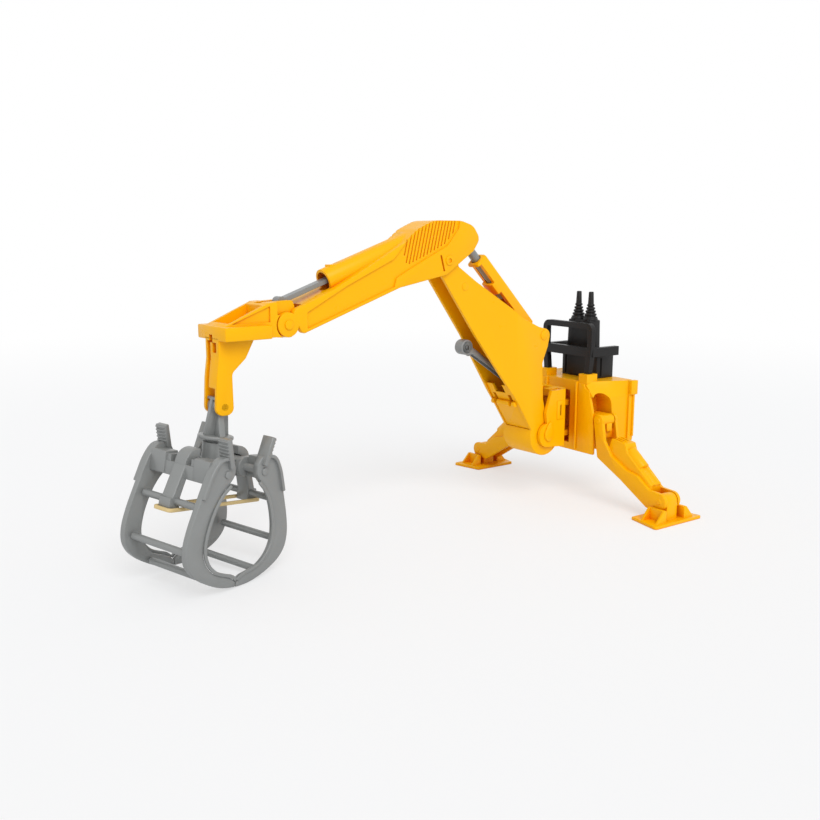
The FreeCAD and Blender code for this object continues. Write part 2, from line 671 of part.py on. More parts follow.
# Guard rail: one bent bar with a cross band and two side arms.
def make_guard():
    half = z.rail_thick * 0.5
    foot = z.base_top + z.boss_high
    rail = new_body("guard_hoop")
    outer = [(-z.rail_foot_half - half, foot), (-z.rail_top_half - half, z.band_high),
             (-z.rail_top_half - half, z.rail_top), (z.rail_top_half + half, z.rail_top),
             (z.rail_top_half + half, z.band_high), (z.rail_foot_half + half, foot)]
    inner = [(z.rail_foot_half - half, foot), (z.rail_top_half - half, z.band_high),
             (z.rail_top_half - half, z.rail_top - z.rail_thick),
             (-z.rail_top_half + half, z.rail_top - z.rail_thick),
             (-z.rail_top_half + half, z.band_high), (-z.rail_foot_half + half, foot)]
    sketch = outline(rail, "guard_outline", outer + inner, "YZ_Plane")
    bind(sketch, "AttachmentOffset.Base.z", -z.rail_x)
    rail.Tip = pad(rail, "guard_pad", sketch, z.rail_thick)
    doc.recompute()
    for name, wanted, radius in (("outer", VALUES["rail_top_half"] + VALUES["rail_thick"] / 2, z.rail_round),
                                 ("inner", VALUES["rail_top_half"] - VALUES["rail_thick"] / 2,
                                  z.rail_round - z.rail_thick)):
        edges = []
        for number, edge in enumerate(rail.Shape.Edges, 1):
            middle = edge.CenterOfMass
            along = abs(edge.tangentAt(edge.FirstParameter).x) > 0.9
            high = middle.z > VALUES["rail_top"] - VALUES["rail_thick"] - 0.1
            if along and high and abs(abs(middle.y) - wanted) < 0.05:
                edges.append("Edge%d" % number)
        fillet(rail, "guard_round_" + name, edges, radius)
    outer_y = z.rail_top_half + half
    band = block("guard_band", (-z.rail_x - half, -z.rail_x + half), (-z.rail_top_half, z.rail_top_half),
                 (z.band_low, z.band_high))
    arms = [block("guard_arm_" + side, (-z.arm_rest_end, -z.rail_x),
                  (outer_y - z.rail_thick, outer_y) if sign > 0 else (-outer_y, -outer_y + z.rail_thick),
                  (z.band_low, z.band_high))
            for side, sign in SIDES]
    placed(fuse("guard_rail", [rail, band] + arms), "guard_rail", STILL)


def make_console():
    box = block("console_box", (-z.box_rear, -z.box_front), (-z.box_half, z.box_half),
                (z.base_top, z.box_top))
    tower = block("console_tower", (-z.tower_rear, -z.tower_front), (-z.tower_half, z.tower_half),
                  (z.box_top - 1, z.tower_top))
    placed(fuse("lever_console", [box, tower]), "lever_console", STILL)


def make_lever(side, sign):
    """A ringed boot under a round grip, turned about its own axis."""
    rings = int(VALUES["boot_rings"])
    step = z.boot_high * (1.0 / rings)
    x = (z.tower_front + z.tower_rear) * -0.5
    y = z.lever_half * sign
    solids = []
    for ring in range(rings):
        share = ring / float(rings)
        radius = z.boot_radius - (z.boot_radius - z.boot_top_radius) * share
        cone = doc.addObject("Part::Cone", "boot_ring_%s_%d" % (side, ring))
        bind(cone, "Radius1", radius)
        bind(cone, "Radius2", radius - 0.7)
        bind(cone, "Height", step)
        spot(cone, x, y, z.tower_top + step * ring)
        solids.append(cone)
    solids.append(rod("grip_" + side, "z", z.grip_radius, (x, y, z.tower_top + z.boot_high - 1),
                      z.grip_high + 1))
    placed(fuse("lever_boot_" + side, solids), "lever_boot_" + side, STILL)


# Slew post: a fork round the boom's foot on a hub round the king pin.
def post_corner(side, sign, outer):
    """The wedge that clears the base as the post slews."""
    reach = z.post_corner
    corners = [(z.post_back - 1, (outer - reach - 1) * sign), (z.post_back - 1, (outer + 1) * sign),
               (z.post_back + reach + 1, (outer + 1) * sign)]
    wedge = new_body("post_corner_" + side)
    sketch = outline(wedge, "post_corner_outline_" + side, corners, "XY_Plane")
    wedge.Tip = pad(wedge, "post_corner_pad_" + side, sketch, z.post_top * 4)
    return wedge


def make_post():
    inner = z.boom_foot_half + z.gap
    outer = inner + z.ear_thick
    low = z.foot_z - z.ear_radius
    ears = prism("post_ears", [(z.post_back, z.post_bottom), (z.foot_x, low), (z.foot_x, z.foot_z),
                               (z.foot_x + 2, z.post_top - 12), (z.post_front, z.post_top),
                               (z.post_back, z.post_top)], outer)
    eye = across("post_eye", z.ear_radius, z.foot_x, z.foot_z, outer)
    hub_low = z.lower_lug_z + z.lug_thick + z.gap
    hub_high = z.upper_lug_z - z.gap
    solid = fuse("post_fork", [ears, eye])
    space = block("post_space", (z.post_back + z.post_back_thick, z.foot_x + 20), (-inner, inner),
                  (z.post_bottom - 10, z.post_top + 10))
    fork = cut("post_hollow", solid, [space] + [post_corner(side, sign, outer) for side, sign in SIDES])
    cap_low = z.post_top - z.cap_thick
    cap = block("post_cap", (z.post_back, z.cap_front), (-z.cap_half, z.cap_half), (cap_low, z.post_top))
    lugs = []
    for side, near in (("left", z.lift_half + z.gap), ("right", -z.lift_half - z.gap - z.lug_web)):
        lugs.append(rod("lift_eye_" + side, "y", z.lift_lug, (z.lift_x, near, z.lift_z), z.lug_web))
        lugs.append(block("lift_lug_" + side, (z.post_back, z.lift_x + z.lift_lug), (near, near + z.lug_web),
                          (z.lift_z, cap_low + 1)))
    hub = rod("post_hub", "z", z.hub_radius, (0, 0, hub_low), hub_high - hub_low)
    web = block("post_web", (0, z.post_back + 1), (-2.6, 2.6), (hub_low, hub_high))
    whole = fuse("post_whole", [fork, cap, hub, web] + lugs)
    slot = block("cap_slot", (z.post_back + z.post_back_thick, z.cap_front + 1),
                 (-z.lift_half - z.gap, z.lift_half + z.gap), (cap_low - 2, z.post_top + 1))
    bores = [rod("post_king_bore", "z", z.king_radius + z.fit, (0, 0, hub_low - 1), 40),
             across("post_foot_bore", z.foot_pin + z.fit, z.foot_x, z.foot_z, 20),
             across("post_lift_bore", z.lift_pin + z.fit, z.lift_x, z.lift_z, 6), slot]
    placed(cut("slew_post", whole, bores), "slew_post", ARM)
    cross_pin("boom_foot_pin", z.foot_pin, z.foot_x, z.foot_z, outer, ARM)
    cross_pin("lift_rod_pin", z.lift_pin, z.lift_x, z.lift_z, z.lift_half + z.gap + z.lug_web, ARM)


# Boom: an open channel, wide at the foot, with a horn behind for the stick cylinder.
def make_boom():
    slim = plate("boom_slim", BOOM, z.boom_half)
    wide = prism("boom_wide", [(z.boom_bend_a, z.boom_bend_b - 0.5), (z.horn_top_a, z.horn_top_b - 0.5),
                               (z.horn_tip_a + 3, z.horn_tip_b - 0.5), (z.horn_low_a + 1, z.horn_low_b),
                               (z.boom_rear_a, z.boom_rear_b), (z.boom_heel_a, z.boom_heel_b),
                               (z.boom_sole_a, z.boom_sole_b),
                               (z.boom_toe_a, z.boom_toe_b), (z.boom_shin_a, z.boom_shin_b),
                               (z.boom_shin_a + 2.6, z.boom_shin_b + 6)], z.boom_foot_half)
    foot = across("boom_foot", z.boom_foot_radius, z.foot_x, z.foot_z, z.boom_foot_half)
    solid = fuse("boom_solid", [slim, wide, foot])
    front = prism("boom_channel", [(99, 150), (80, 150), (80.0, 126.4), (50.5, 104.6), (36.5, 88.0),
                                   (31.0, 70.0), (29.5, 53.0), (60, 53.0), (75, 90), (110, 130)],
                  z.boom_inner)
    lower = prism("boom_channel_low", [(48, 92), (37, 87), (31.0, 70.0), (29.5, 53.0), (60, 53.0), (70, 92)],
                  z.boom_foot_inner)
    rear = prism("horn_channel", [(51, 112), (33.6, 90.0), (28, 83), (10, 83), (10, 112)], z.barrel_eye_half + z.gap)
    slot = block("rod_slot", (12, 40), (-z.rod_slot_half, z.rod_slot_half), (z.lift_z, 74))
    bores = [across("boom_foot_bore", z.foot_pin + z.fit, z.foot_x, z.foot_z, 12),
             across("boom_elbow_bore", z.elbow_pin + z.fit, z.elbow_x, z.elbow_z, 12),
             across("boom_horn_bore", z.horn_pin, z.horn_x, z.horn_z, 12)]
    placed(cut("boom", solid, [front, lower, rear, slot] + bores), "boom", ARM)
    cross_pin("horn_pin", z.horn_pin, z.horn_x, z.horn_z, z.boom_foot_half + 0.6, ARM)
    cover = prism("cover_plate", [(48.6, 67.4), (46.6, 68.4), (44.2, 68.4), (31.6, 53.0), (33.0, 53.0),
                                 (39.2, 53.0)], z.boom_foot_inner)
    notch = block("cover_notch", (20, 60), (-z.rod_slot_half, z.rod_slot_half), (63.0, 80))
    placed(cut("boom_cover", cover, [notch]), "boom_cover", ARM)


def make_lift_rod():
    """A hollow-backed push rod that runs out through the open side of the boom."""
    slope = math.degrees(math.atan2(88.7 - VALUES["lift_z"], 71.5 - VALUES["lift_x"]))
    bar = block("lift_bar", (0, z.lift_long), (-z.lift_half, z.lift_half), (-2.4, 2.4))
    eye = across("lift_eye", 3.0, 0, 0, z.lift_half)
    end = across("lift_round", z.lift_end, z.lift_long, 0, z.lift_half)
    solid = fuse("lift_solid", [bar, eye, end])
    bore = across("lift_bore", z.lift_pin + z.fit, 0, 0, 6)
    back = block("lift_back", (6, z.lift_long - 6), (-z.lift_half + 1, z.lift_half - 1), (-3, 1))
    at = ARM.multiply(Placement(Vector(VALUES["lift_x"], 0, VALUES["lift_z"]), Rotation(Y, -slope)))
    placed(cut("lift_rod", solid, [bore, back]), "lift_rod", at)


def make_stick_cylinder():
    """The barrel turns on the horn pin, and the piston runs into the stick's head."""
    at = ARM.multiply(Placement(Vector(VALUES["horn_x"], 0, VALUES["horn_z"]), Rotation(Y, -45)))
    eye = across("barrel_eye_disc", z.barrel_eye, 0, 0, z.barrel_eye_half)
    tube = rod("barrel_tube", "x", z.barrel_radius, (z.barrel_start - 3, 0, 0), z.barrel_end - z.barrel_start + 3)
    neck = block("barrel_neck", (0, z.barrel_start), (-2.6, 2.6), (-2.6, 2.6))
    solid = fuse("barrel_solid", [eye, tube, neck])
    tools = [rod("barrel_hollow", "x", z.barrel_bore, (z.barrel_start + 4, 0, 0), 60),
             across("barrel_pin_bore", z.horn_pin + z.fit, 0, 0, 6)]
    placed(cut("stick_cylinder", solid, tools), "stick_cylinder", at)
    piston = rod("piston_rod", "x", z.piston_radius, (z.piston_start, 0, 0), z.piston_eye_at - z.piston_start)
    end = across("piston_end", z.piston_eye, z.piston_eye_at, 0, z.piston_eye_half)
    solid = fuse("piston_solid", [piston, end])
    hole = across("piston_hole", 1.0, z.piston_eye_at, 0, 6)
    placed(cut("stick_piston", solid, [hole]), "stick_piston", at)


# Stick: a curved hollow arm with the tilt tube moulded on its back.
def make_stick():
    slim = plate("stick_plate", STICK, z.stick_half)
    tip = across("stick_tip", z.tip_radius, z.tip_x, z.tip_z, z.stick_half)
    slope = VALUES["tube_slope"]
    tube = doc.addObject("Part::Cylinder", "tilt_tube")
    bind(tube, "Radius", z.tube_radius)
    bind(tube, "Height", z.tube_long)
    tube.Placement = Placement(Vector(), Rotation(Y, -90 + slope))
    spot(tube, z.tube_x, 0, z.tube_z)
    solid = fuse("stick_solid", [slim, tip, tube])
    inner = prism("stick_hollow", [(171, 100), (119, 118), (91, 122), (72.8, 134), (66, 142), (71.4, 144.4),
                                   (79.4, 150.6), (102.4, 150.6), (113.2, 141.6), (154.6, 119.6), (171, 113)],
                  z.stick_inner)
    slot = prism("stick_slot", [(66, 142), (66, 156), (84, 156), (84, 149)], z.piston_eye_half + 0.7)
    bore = doc.addObject("Part::Cylinder", "tilt_bore")
    bind(bore, "Radius", z.tube_bore)
    bind(bore, "Height", z.tube_bore_long + 2)
    bore.Placement = Placement(Vector(), Rotation(Y, -90 + slope))
    spot(bore, z.tube_x + 1.9, 0, z.tube_z - 0.65)
    bores = [across("stick_elbow_bore", z.elbow_pin, z.elbow_x, z.elbow_z, 12),
             across("stick_tip_bore", z.tip_pin + z.fit, z.tip_x, z.tip_z, 12)]
    placed(cut("stick", solid, [inner, slot, bore] + bores), "stick", ARM)
    cross_pin("elbow_pin", z.elbow_pin, z.elbow_x, z.elbow_z, z.stick_half + 0.6, ARM)


# Tool carrier: a fork over the stick's tip with a collar and a hanging bracket.
def make_carrier():
    fork = plate("carrier_fork", CARRIER, z.carrier_outer)
    collar = block("carrier_collar", (z.collar_rear, z.collar_front), (-z.collar_half, z.collar_half),
                   (z.collar_low, z.collar_high))
    bracket = plate("carrier_bracket", BRACKET, z.bracket_half)
    solid = fuse("carrier_solid", [fork, collar, bracket])
    space = block("fork_space", (170, 193.4), (-z.carrier_inner, z.carrier_inner), (90, 125))
    above = block("fork_above", (193, 206.5), (-z.carrier_inner, z.carrier_inner), (z.collar_high, 125))
    clevis = block("bracket_space", (200, 213), (-z.bracket_inner, z.bracket_inner), (60, 92))
    front = block("bracket_mouth", (208.5, 222), (-z.bracket_inner, z.bracket_inner), (60, z.collar_low))
    bores = [across("carrier_tip_bore", z.tip_pin + z.fit, z.tip_x, z.tip_z, 20),
             across("carrier_hang_bore", z.hang_pin, z.hang_x, z.hang_z, 20)]
    placed(cut("tool_carrier", solid, [space, above, clevis, front] + bores), "tool_carrier", ARM)
    cross_pin("tip_pin", z.tip_pin, z.tip_x, z.tip_z, z.carrier_outer + 0.6, ARM)
    cross_pin("hanger_pin", z.hang_pin, z.hang_x, z.hang_z, z.bracket_half, ARM)


def make_tilt_rod():
    """A flat rod from the carrier's back into the stick's tube."""
    rise = math.degrees(math.atan2(VALUES["tube_z"] - VALUES["tilt_eye_z"],
                                   VALUES["tilt_eye_x"] - VALUES["tube_x"]))
    at = ARM.multiply(Placement(Vector(VALUES["tilt_eye_x"], 0, VALUES["tilt_eye_z"]),
                                Rotation(Y, rise)))
    bar = block("tilt_bar", (-z.tilt_rod_long, 0), (-z.tilt_rod_half, z.tilt_rod_half),
                (z.tilt_rod_thick * -0.5, z.tilt_rod_thick * 0.5))
    eye = across("tilt_eye", z.tilt_eye_radius, 0, 0, z.tilt_rod_half)
    placed(fuse("tilt_rod", [bar, eye]), "tilt_rod", at)


# Hanger and rotator, drawn from the hanger pin.
def make_hanger():
    wedge = prism("hanger_wedge", [(-z.hanger_top_half, z.hanger_top), (z.hanger_top_half, z.hanger_top),
                                   (z.hanger_low_half, -z.disc_low + z.disc_thick),
                                   (-z.hanger_low_half, -z.disc_low + z.disc_thick)], z.hanger_thick_half)
    disc = rod("hanger_disc", "z", z.disc_radius, (0, 0, -z.disc_low), z.disc_thick)
    neck = rod("hanger_neck", "z", z.neck_radius, (0, 0, -z.turn_low + 2), z.turn_low - z.disc_low - 1)
    solid = fuse("hanger_solid", [wedge, disc, neck])
    bore = across("hanger_bore", z.hang_pin + z.fit, 0, 0, 8)
    placed(cut("hanger", solid, [bore]), "hanger", HANG)


def make_head():
    """The rotator and the yoke that carries the two jaw pins."""
    turn = rod("rotator_drum", "z", z.turn_radius, (0, 0, -z.turn_low), z.turn_low - z.turn_top)
    yoke = block("head_block", (-z.head_half, z.head_half), (-z.head_wide, z.head_wide),
                 (-z.head_low, -z.turn_low))
    beam = block("head_beam", (-z.jaw_pin_x, z.jaw_pin_x), (-z.head_wide, z.head_wide),
                 (-z.jaw_pin_drop - z.head_lug, -z.jaw_pin_drop + z.head_lug * 0.7))
    lugs = [across("head_lug_" + side, z.head_lug, z.jaw_pin_x * sign, -z.jaw_pin_drop, z.head_wide)
            for side, sign in SIDES]
    solid = fuse("head_solid", [turn, yoke, beam] + lugs)
    bores = [across("head_bore_" + side, z.jaw_pin, z.jaw_pin_x * sign, -z.jaw_pin_drop, 12)
             for side, sign in SIDES]
    bores.append(rod("neck_bore", "z", z.neck_radius + z.fit, (0, 0, -z.turn_low + 2 - 0.3), 12))
    placed(cut("grapple_head", solid, bores), "grapple_head", GRAPPLE)
    for side, sign in SIDES:
        cross_pin("jaw_pin_" + side, z.jaw_pin, z.jaw_pin_x * sign, -z.jaw_pin_drop, z.jaw_pin_half, GRAPPLE)


# Jaws: two flat curved arms, three bars, a hub with a strap, and two ribbed tabs.
def jaw_half(side, placement):
    """One jaw, drawn on the +x side of the head."""
    inner = z.arm_outer - z.arm_thick
    for end, low in (("near", inner), ("far", -z.arm_outer)):
        arm = new_body("jaw_arm_plate_%s_%s" % (side, end))
        corners = [(getattr(z, row[0] + "_a"), -getattr(z, row[0] + "_b")) for row in JAW_ARM]
        sketch = outline(arm, "jaw_arm_outline_%s_%s" % (side, end), corners)
        bind(sketch, "AttachmentOffset.Base.z", -low - z.arm_thick * 0.5)
        arm.Tip = pad(arm, "jaw_arm_pad_%s_%s" % (side, end), sketch, z.arm_thick)
        round_corners(arm, JAW_ARM, drop=-1.0)
        tip = block("jaw_tip_cut_%s_%s" % (side, end), (-20, z.jaw_split), (low - 1, low + z.arm_thick + 1),
                    (-90, -60))
        tab = block("jaw_tab_%s_%s" % (side, end), (z.jaw_pin_x, z.jaw_pin_x + z.tab_thick),
                    (low + (z.arm_thick - z.tab_wide) * 0.5, low + (z.arm_thick + z.tab_wide) * 0.5),
                    (-z.arm_shoulder_b - 2, -z.arm_shoulder_b + z.tab_high))
        solid = cut("jaw_arm_cut_%s_%s" % (side, end), fuse("jaw_arm_fuse_%s_%s" % (side, end), [arm, tab]),
                    [tip])
        placed(solid, "jaw_arm_%s_%s" % (side, end), placement)
    for row in BARS:
        cross_pin("jaw_%s_%s" % (row[0], side), z.bar_radius, getattr(z, row[0] + "_a"),
                  -getattr(z, row[0] + "_b"), inner, placement)
    hub_inner = z.head_wide + z.gap
    hubs = [block("jaw_hub_%s_%s" % (side, end), (z.jaw_pin_x - z.hub_half, z.jaw_pin_x + z.hub_half),
                  (low, high), (-z.jaw_pin_drop - z.hub_half, -z.jaw_pin_drop + z.hub_half))
            for end, low, high in (("near", hub_inner, inner), ("far", -inner, -hub_inner))]
    bridge = block("jaw_bridge_" + side, (z.jaw_pin_x + z.hub_half - 0.2, z.jaw_pin_x + z.hub_half + 2),
                   (-inner, inner), (-z.jaw_pin_drop - z.hub_half, -z.jaw_pin_drop + z.hub_half))
    top_x = z.jaw_pin_x + z.hub_half
    strap = prism("jaw_strap_" + side,
                  [(top_x, -z.jaw_pin_drop), (top_x + z.strap_thick, -z.jaw_pin_drop),
                   (z.upper_bar_a + 2.2, -z.upper_bar_b), (z.upper_bar_a + 2.2, -z.upper_bar_b - 4.6),
                   (z.upper_bar_a - 2.4, -z.upper_bar_b - 4.6), (z.upper_bar_a - 2.4, -z.upper_bar_b)],
                  z.strap_half)
    solid = fuse("jaw_hub_solid_" + side, hubs + [bridge, strap])
    bores = [across("jaw_hub_bore_" + side, z.jaw_pin + z.fit, z.jaw_pin_x, -z.jaw_pin_drop, 20),
             across("jaw_bar_bore_" + side, z.bar_radius + z.fit, z.upper_bar_a, -z.upper_bar_b, 20)]
    placed(cut("jaw_hub_" + side, solid, bores), "jaw_hub_" + side, placement)


# Outriggers and feet, the right one turned half round.
def make_outrigger(side, placement):
    leg = new_body("leg_plate_" + side)
    corners = [(-z.side_x * 0 + getattr(z, row[0] + "_a"), getattr(z, row[0] + "_b")) for row in LEG]
    sketch = outline(leg, "leg_outline_" + side, corners, "YZ_Plane")
    leg.Tip = pad(leg, "leg_pad_" + side, sketch, z.leg_half * 2)
    round_corners(leg, LEG, flat=(1, 2))
    top_gap = block("leg_knuckle_space_" + side, (-z.leg_half + z.leg_wall, z.leg_half - z.leg_wall),
                    (20, 41), (20, 60))
    end_half = z.foot_knuckle_half + z.gap
    end_gap = block("leg_end_space_" + side, (-end_half, end_half), (66.5, 90), (0, 30))
    under = prism("leg_under_" + side, [(30, 20), (41, 34), (66, 12), (66, 0), (40, 10)],
                  z.leg_half - z.leg_wall, "YZ_Plane")
    bores = [rod("leg_knee_bore_" + side, "x", z.knee_pin + z.fit, (-12, z.knee_y, z.knee_z), 24),
             rod("leg_ankle_bore_" + side, "x", z.ankle_pin, (-12, z.ankle_y, z.ankle_z), 24)]
    knee_eye = rod("leg_knee_eye_" + side, "x", z.knee_radius, (-z.leg_half, z.knee_y, z.knee_z), z.leg_half * 2)
    solid = fuse("leg_solid_" + side, [leg, knee_eye])
    placed(cut("outrigger_" + side, solid, [top_gap, end_gap, under] + bores), "outrigger_" + side, placement)
    pin("outrigger_pin_" + side, "x", z.knee_pin, (-z.leg_half, z.knee_y, z.knee_z), z.leg_half * 2, placement)
    pad_plate = new_body("foot_plate_" + side)
    sketch = outline(pad_plate, "foot_outline_" + side,
                     [(-z.pad_inner_half, z.pad_inner_y), (z.pad_inner_half, z.pad_inner_y),
                      (z.pad_outer_half, z.pad_outer_y), (-z.pad_outer_half, z.pad_outer_y)], "XY_Plane")
    bind(sketch, "AttachmentOffset.Base.z", z.pad_thick * 0.5)
    pad_plate.Tip = pad(pad_plate, "foot_pad_" + side, sketch, z.pad_thick)
    eye = rod("foot_eye_" + side, "x", z.ankle_radius - 0.4,
              (-z.foot_knuckle_half, z.ankle_y, z.ankle_z), z.foot_knuckle_half * 2)
    post = block("foot_post_" + side, (-z.foot_knuckle_half, z.foot_knuckle_half),
                 (z.ankle_y - z.ankle_radius + 0.4, z.ankle_y + z.ankle_radius - 0.4), (z.pad_thick * 0.5, z.ankle_z))
    webs = [block("foot_web_%s_%s" % (side, end), (low, high), (z.pad_inner_y + 3, z.pad_outer_y - 2),
                  (z.pad_thick * 0.5, z.pad_thick + 3.4))
            for end, low, high in (("front", z.leg_half + z.gap + 1, z.leg_half + z.gap + 2.6),
                                   ("rear", -z.leg_half - z.gap - 2.6, -z.leg_half - z.gap - 1))]
    solid = fuse("foot_solid_" + side, [pad_plate, eye, post] + webs)
    bore = rod("foot_bore_" + side, "x", z.ankle_pin + z.fit, (-12, z.ankle_y, z.ankle_z), 24)
    placed(cut("foot_" + side, solid, [bore]), "foot_" + side, placement)
    pin("foot_pin_" + side, "x", z.ankle_pin, (-z.leg_half, z.ankle_y, z.ankle_z), z.leg_half * 2, placement)


make_base()
make_king_pin()
make_guard()
make_console()
for side, sign in SIDES:
    make_lever(side, sign)
make_post()
make_boom()
make_lift_rod()
make_stick_cylinder()
make_stick()
make_carrier()
make_tilt_rod()
make_hanger()
make_head()
jaw_half("left", GRAPPLE)
jaw_half("right", GRAPPLE.multiply(turned(180, Z)))
side_place = Placement(Vector(-VALUES["side_x"], 0, 0), Rotation())
make_outrigger("left", side_place)
make_outrigger("right", side_place.multiply(turned(180, Z)))

doc.recompute()
for thing in doc.Objects:
    if "Invalid" in thing.State or "Error" in thing.State:
        raise RuntimeError("%s did not build" % thing.Name)
for node in NODES:
    if node.Shape.isNull() or not node.Shape.isValid():
        raise RuntimeError("%s has no sound solid" % node.Label)


def whole_box():
    """The tight box round every piece."""
    corners = [node.Shape.optimalBoundingBox(True) for node in NODES]
    low = Vector(*[min(getattr(box, side) for box in corners) for side in ("XMin", "YMin", "ZMin")])
    high = Vector(*[max(getattr(box, side) for box in corners) for side in ("XMax", "YMax", "ZMax")])
    return low, high


low, high = whole_box()
ORIGIN = Vector((low.x + high.x) / 2, (low.y + high.y) / 2, low.z)
for node in NODES:
    node.Placement = Placement(-ORIGIN, Rotation()).multiply(node.Placement)
doc.recompute()
os.makedirs("parts", exist_ok=True)
for node in NODES:
    node.Shape.exportStep(os.path.join("parts", node.Label + ".step"))
    print("%-26s solids %d  volume %9.1f  lowest %7.3f" % (node.Label, len(node.Shape.Solids),
                                                          node.Shape.Volume, node.Shape.BoundBox.ZMin))
print("origin ahead of the slewing axis", ORIGIN, "box", whole_box())
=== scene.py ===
"""Finishes, rubber band and photo stage for a moulded toy timber grapple arm."""
import json
import math

import bmesh
import bpy
from bpy.props import FloatProperty, FloatVectorProperty, IntProperty, PointerProperty, StringProperty
from bpy.types import Operator, Panel, PropertyGroup
from mathutils import Matrix, Vector


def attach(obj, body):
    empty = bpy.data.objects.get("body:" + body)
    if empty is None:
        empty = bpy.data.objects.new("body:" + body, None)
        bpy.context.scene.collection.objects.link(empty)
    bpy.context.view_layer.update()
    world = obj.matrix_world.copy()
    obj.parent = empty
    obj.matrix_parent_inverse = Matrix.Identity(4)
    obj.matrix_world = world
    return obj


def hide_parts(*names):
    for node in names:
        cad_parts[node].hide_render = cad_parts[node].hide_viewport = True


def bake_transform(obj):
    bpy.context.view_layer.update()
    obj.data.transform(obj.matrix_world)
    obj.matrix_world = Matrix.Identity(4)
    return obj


bl_info = {
    "name": "Timber Grapple Arm",
    "version": (1, 0, 0),
    "blender": (4, 5, 0),
    "location": "3D Viewport > Sidebar > Grapple Arm",
    "description": "Dresses a moulded toy grapple arm and sets up its photo stage",
    "category": "Object",
}

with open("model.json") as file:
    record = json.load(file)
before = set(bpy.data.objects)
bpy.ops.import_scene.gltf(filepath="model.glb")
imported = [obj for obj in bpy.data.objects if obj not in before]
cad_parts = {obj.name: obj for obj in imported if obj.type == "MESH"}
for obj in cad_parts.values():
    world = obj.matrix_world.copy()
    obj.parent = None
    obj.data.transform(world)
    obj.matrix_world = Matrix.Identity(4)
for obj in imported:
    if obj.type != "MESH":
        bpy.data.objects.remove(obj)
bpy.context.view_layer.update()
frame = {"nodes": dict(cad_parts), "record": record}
MM = 0.001


class ArmFinish(PropertyGroup):
    """Colours and edge softness of the moulded pieces."""

    yellow: StringProperty(name="Yellow ABS", description="Colour of the arm, base and legs",
                           default="#FFB800")
    grey: StringProperty(name="Silver-grey ABS", description="Colour of the grapple and rods",
                         default="#8B8D8C")
    black: StringProperty(name="Black ABS", description="Colour of the lever console and guard",
                          default="#1B1A1A")
    # Painted shade: the deep orange that the yellow turns to in its hollows, standing in for shade and for
    # yellow light bounced between its own walls.
    deep: StringProperty(name="Yellow in hollows", description="The yellow where its own light gathers",
                         default="#DC5C00")
    tan: StringProperty(name="Tan rubber", description="Colour of the rubber band", default="#D9C08A")
    edge_round: FloatProperty(name="Edge round", description="How far the moulded edges are softened",
                              default=0.35 * MM, min=0.0, unit="LENGTH")
    grain: FloatProperty(name="Grain", description="Height of the spark-eroded mould grain",
                         default=0.02 * MM, min=0.0, unit="LENGTH")


class ArmForms(PropertyGroup):
    """Sizes of the moulded detail."""

    recess: FloatProperty(name="Side recess",
                          description="How deep the stick's sides are sunk inside their border",
                          default=0.9 * MM, min=0.0, unit="LENGTH")
    groove_count: IntProperty(name="Grooves", description="Grooves in each side of the stick's head",
                              default=20, min=0)
    groove_step: FloatProperty(name="Groove step", description="Distance from groove to groove",
                               default=1.95 * MM, min=0.0, unit="LENGTH")
    groove_wide: FloatProperty(name="Groove width", description="Width of a groove", default=0.75 * MM,
                               min=0.0,
                               unit="LENGTH")
    groove_deep: FloatProperty(name="Groove depth", description="Depth of a groove", default=0.6 * MM,
                               min=0.0,
                               unit="LENGTH")
    groove_lean: FloatProperty(name="Groove lean", description="How far the grooves lean back from upright",
                               default=math.radians(14.0), subtype="ANGLE")
    rim_wide: FloatProperty(name="Jaw rim", description="Width of the raised rim inside a jaw's arm",
                            default=1.5 * MM, min=0.0, unit="LENGTH")
    tab_lean: FloatProperty(name="Tab lean", description="How far a jaw's tab leans outwards",
                            default=math.radians(16.0), subtype="ANGLE")
    tab_out: FloatProperty(name="Tab offset", description="A tab's middle outside its arm's middle",
                           default=0.2 * MM, unit="LENGTH")


class ArmStage(PropertyGroup):
    """Camera, lamps and floor."""

    camera_at: FloatVectorProperty(name="Camera", description="Where the camera stands", size=3,
                                   default=(0.2566, 0.3726, 0.1448), subtype="TRANSLATION", unit="LENGTH")
    camera_yaw: FloatProperty(name="Camera yaw", description="Turn of the camera about the vertical",
                              default=math.radians(180.0 - 34.98), subtype="ANGLE")
    camera_down: FloatProperty(name="Camera tilt", description="How far the camera looks down",
                               default=math.radians(10.70), subtype="ANGLE")
    camera_lens: FloatProperty(name="Lens", description="Focal length on a 36 mm square sensor",
                               default=40.22, min=10.0)
    floor: StringProperty(name="Floor", description="Colour of the paper sweep", default="#F4F5F7")
    key: FloatProperty(name="Key light", description="Strength of the broad lamp over the left outrigger",
                       default=1.55, min=0.0)
    sky: FloatProperty(name="Room light", description="Strength of the white room round the object",
                       default=0.62, min=0.0)
    floor_white: FloatProperty(name="Floor white",
                               description="How white the floor is where the object stands",
                               default=0.55, min=0.0, max=1.0)
    fade_near: FloatProperty(name="Sweep starts", description="Where the floor begins to run out into white",
                             default=0.30, min=0.0, unit="LENGTH")
    fade_far: FloatProperty(name="Sweep ends", description="Where the floor is all white", default=1.1,
                            min=0.0,
                            unit="LENGTH")


def linear(text):
    """A hex colour as the shader wants it."""
    parts = [int(text[i:i + 2], 16) / 255.0 for i in (1, 3, 5)]
    return tuple(p / 12.92 if p <= 0.04045 else ((p + 0.055) / 1.055) ** 2.4 for p in parts) + (1.0,)


def add_node(tree, kind, settings=None, sockets=None, links=None):
    """One shader node with its settings, socket values and incoming links."""
    made = tree.nodes.new("ShaderNode" + kind)
    for name, value in (settings or {}).items():
        setattr(made, name, value)
    for name, value in (sockets or {}).items():
        made.inputs[name].default_value = value
    for name, source in (links or {}).items():
        tree.links.new(source, made.inputs[name])
    return made


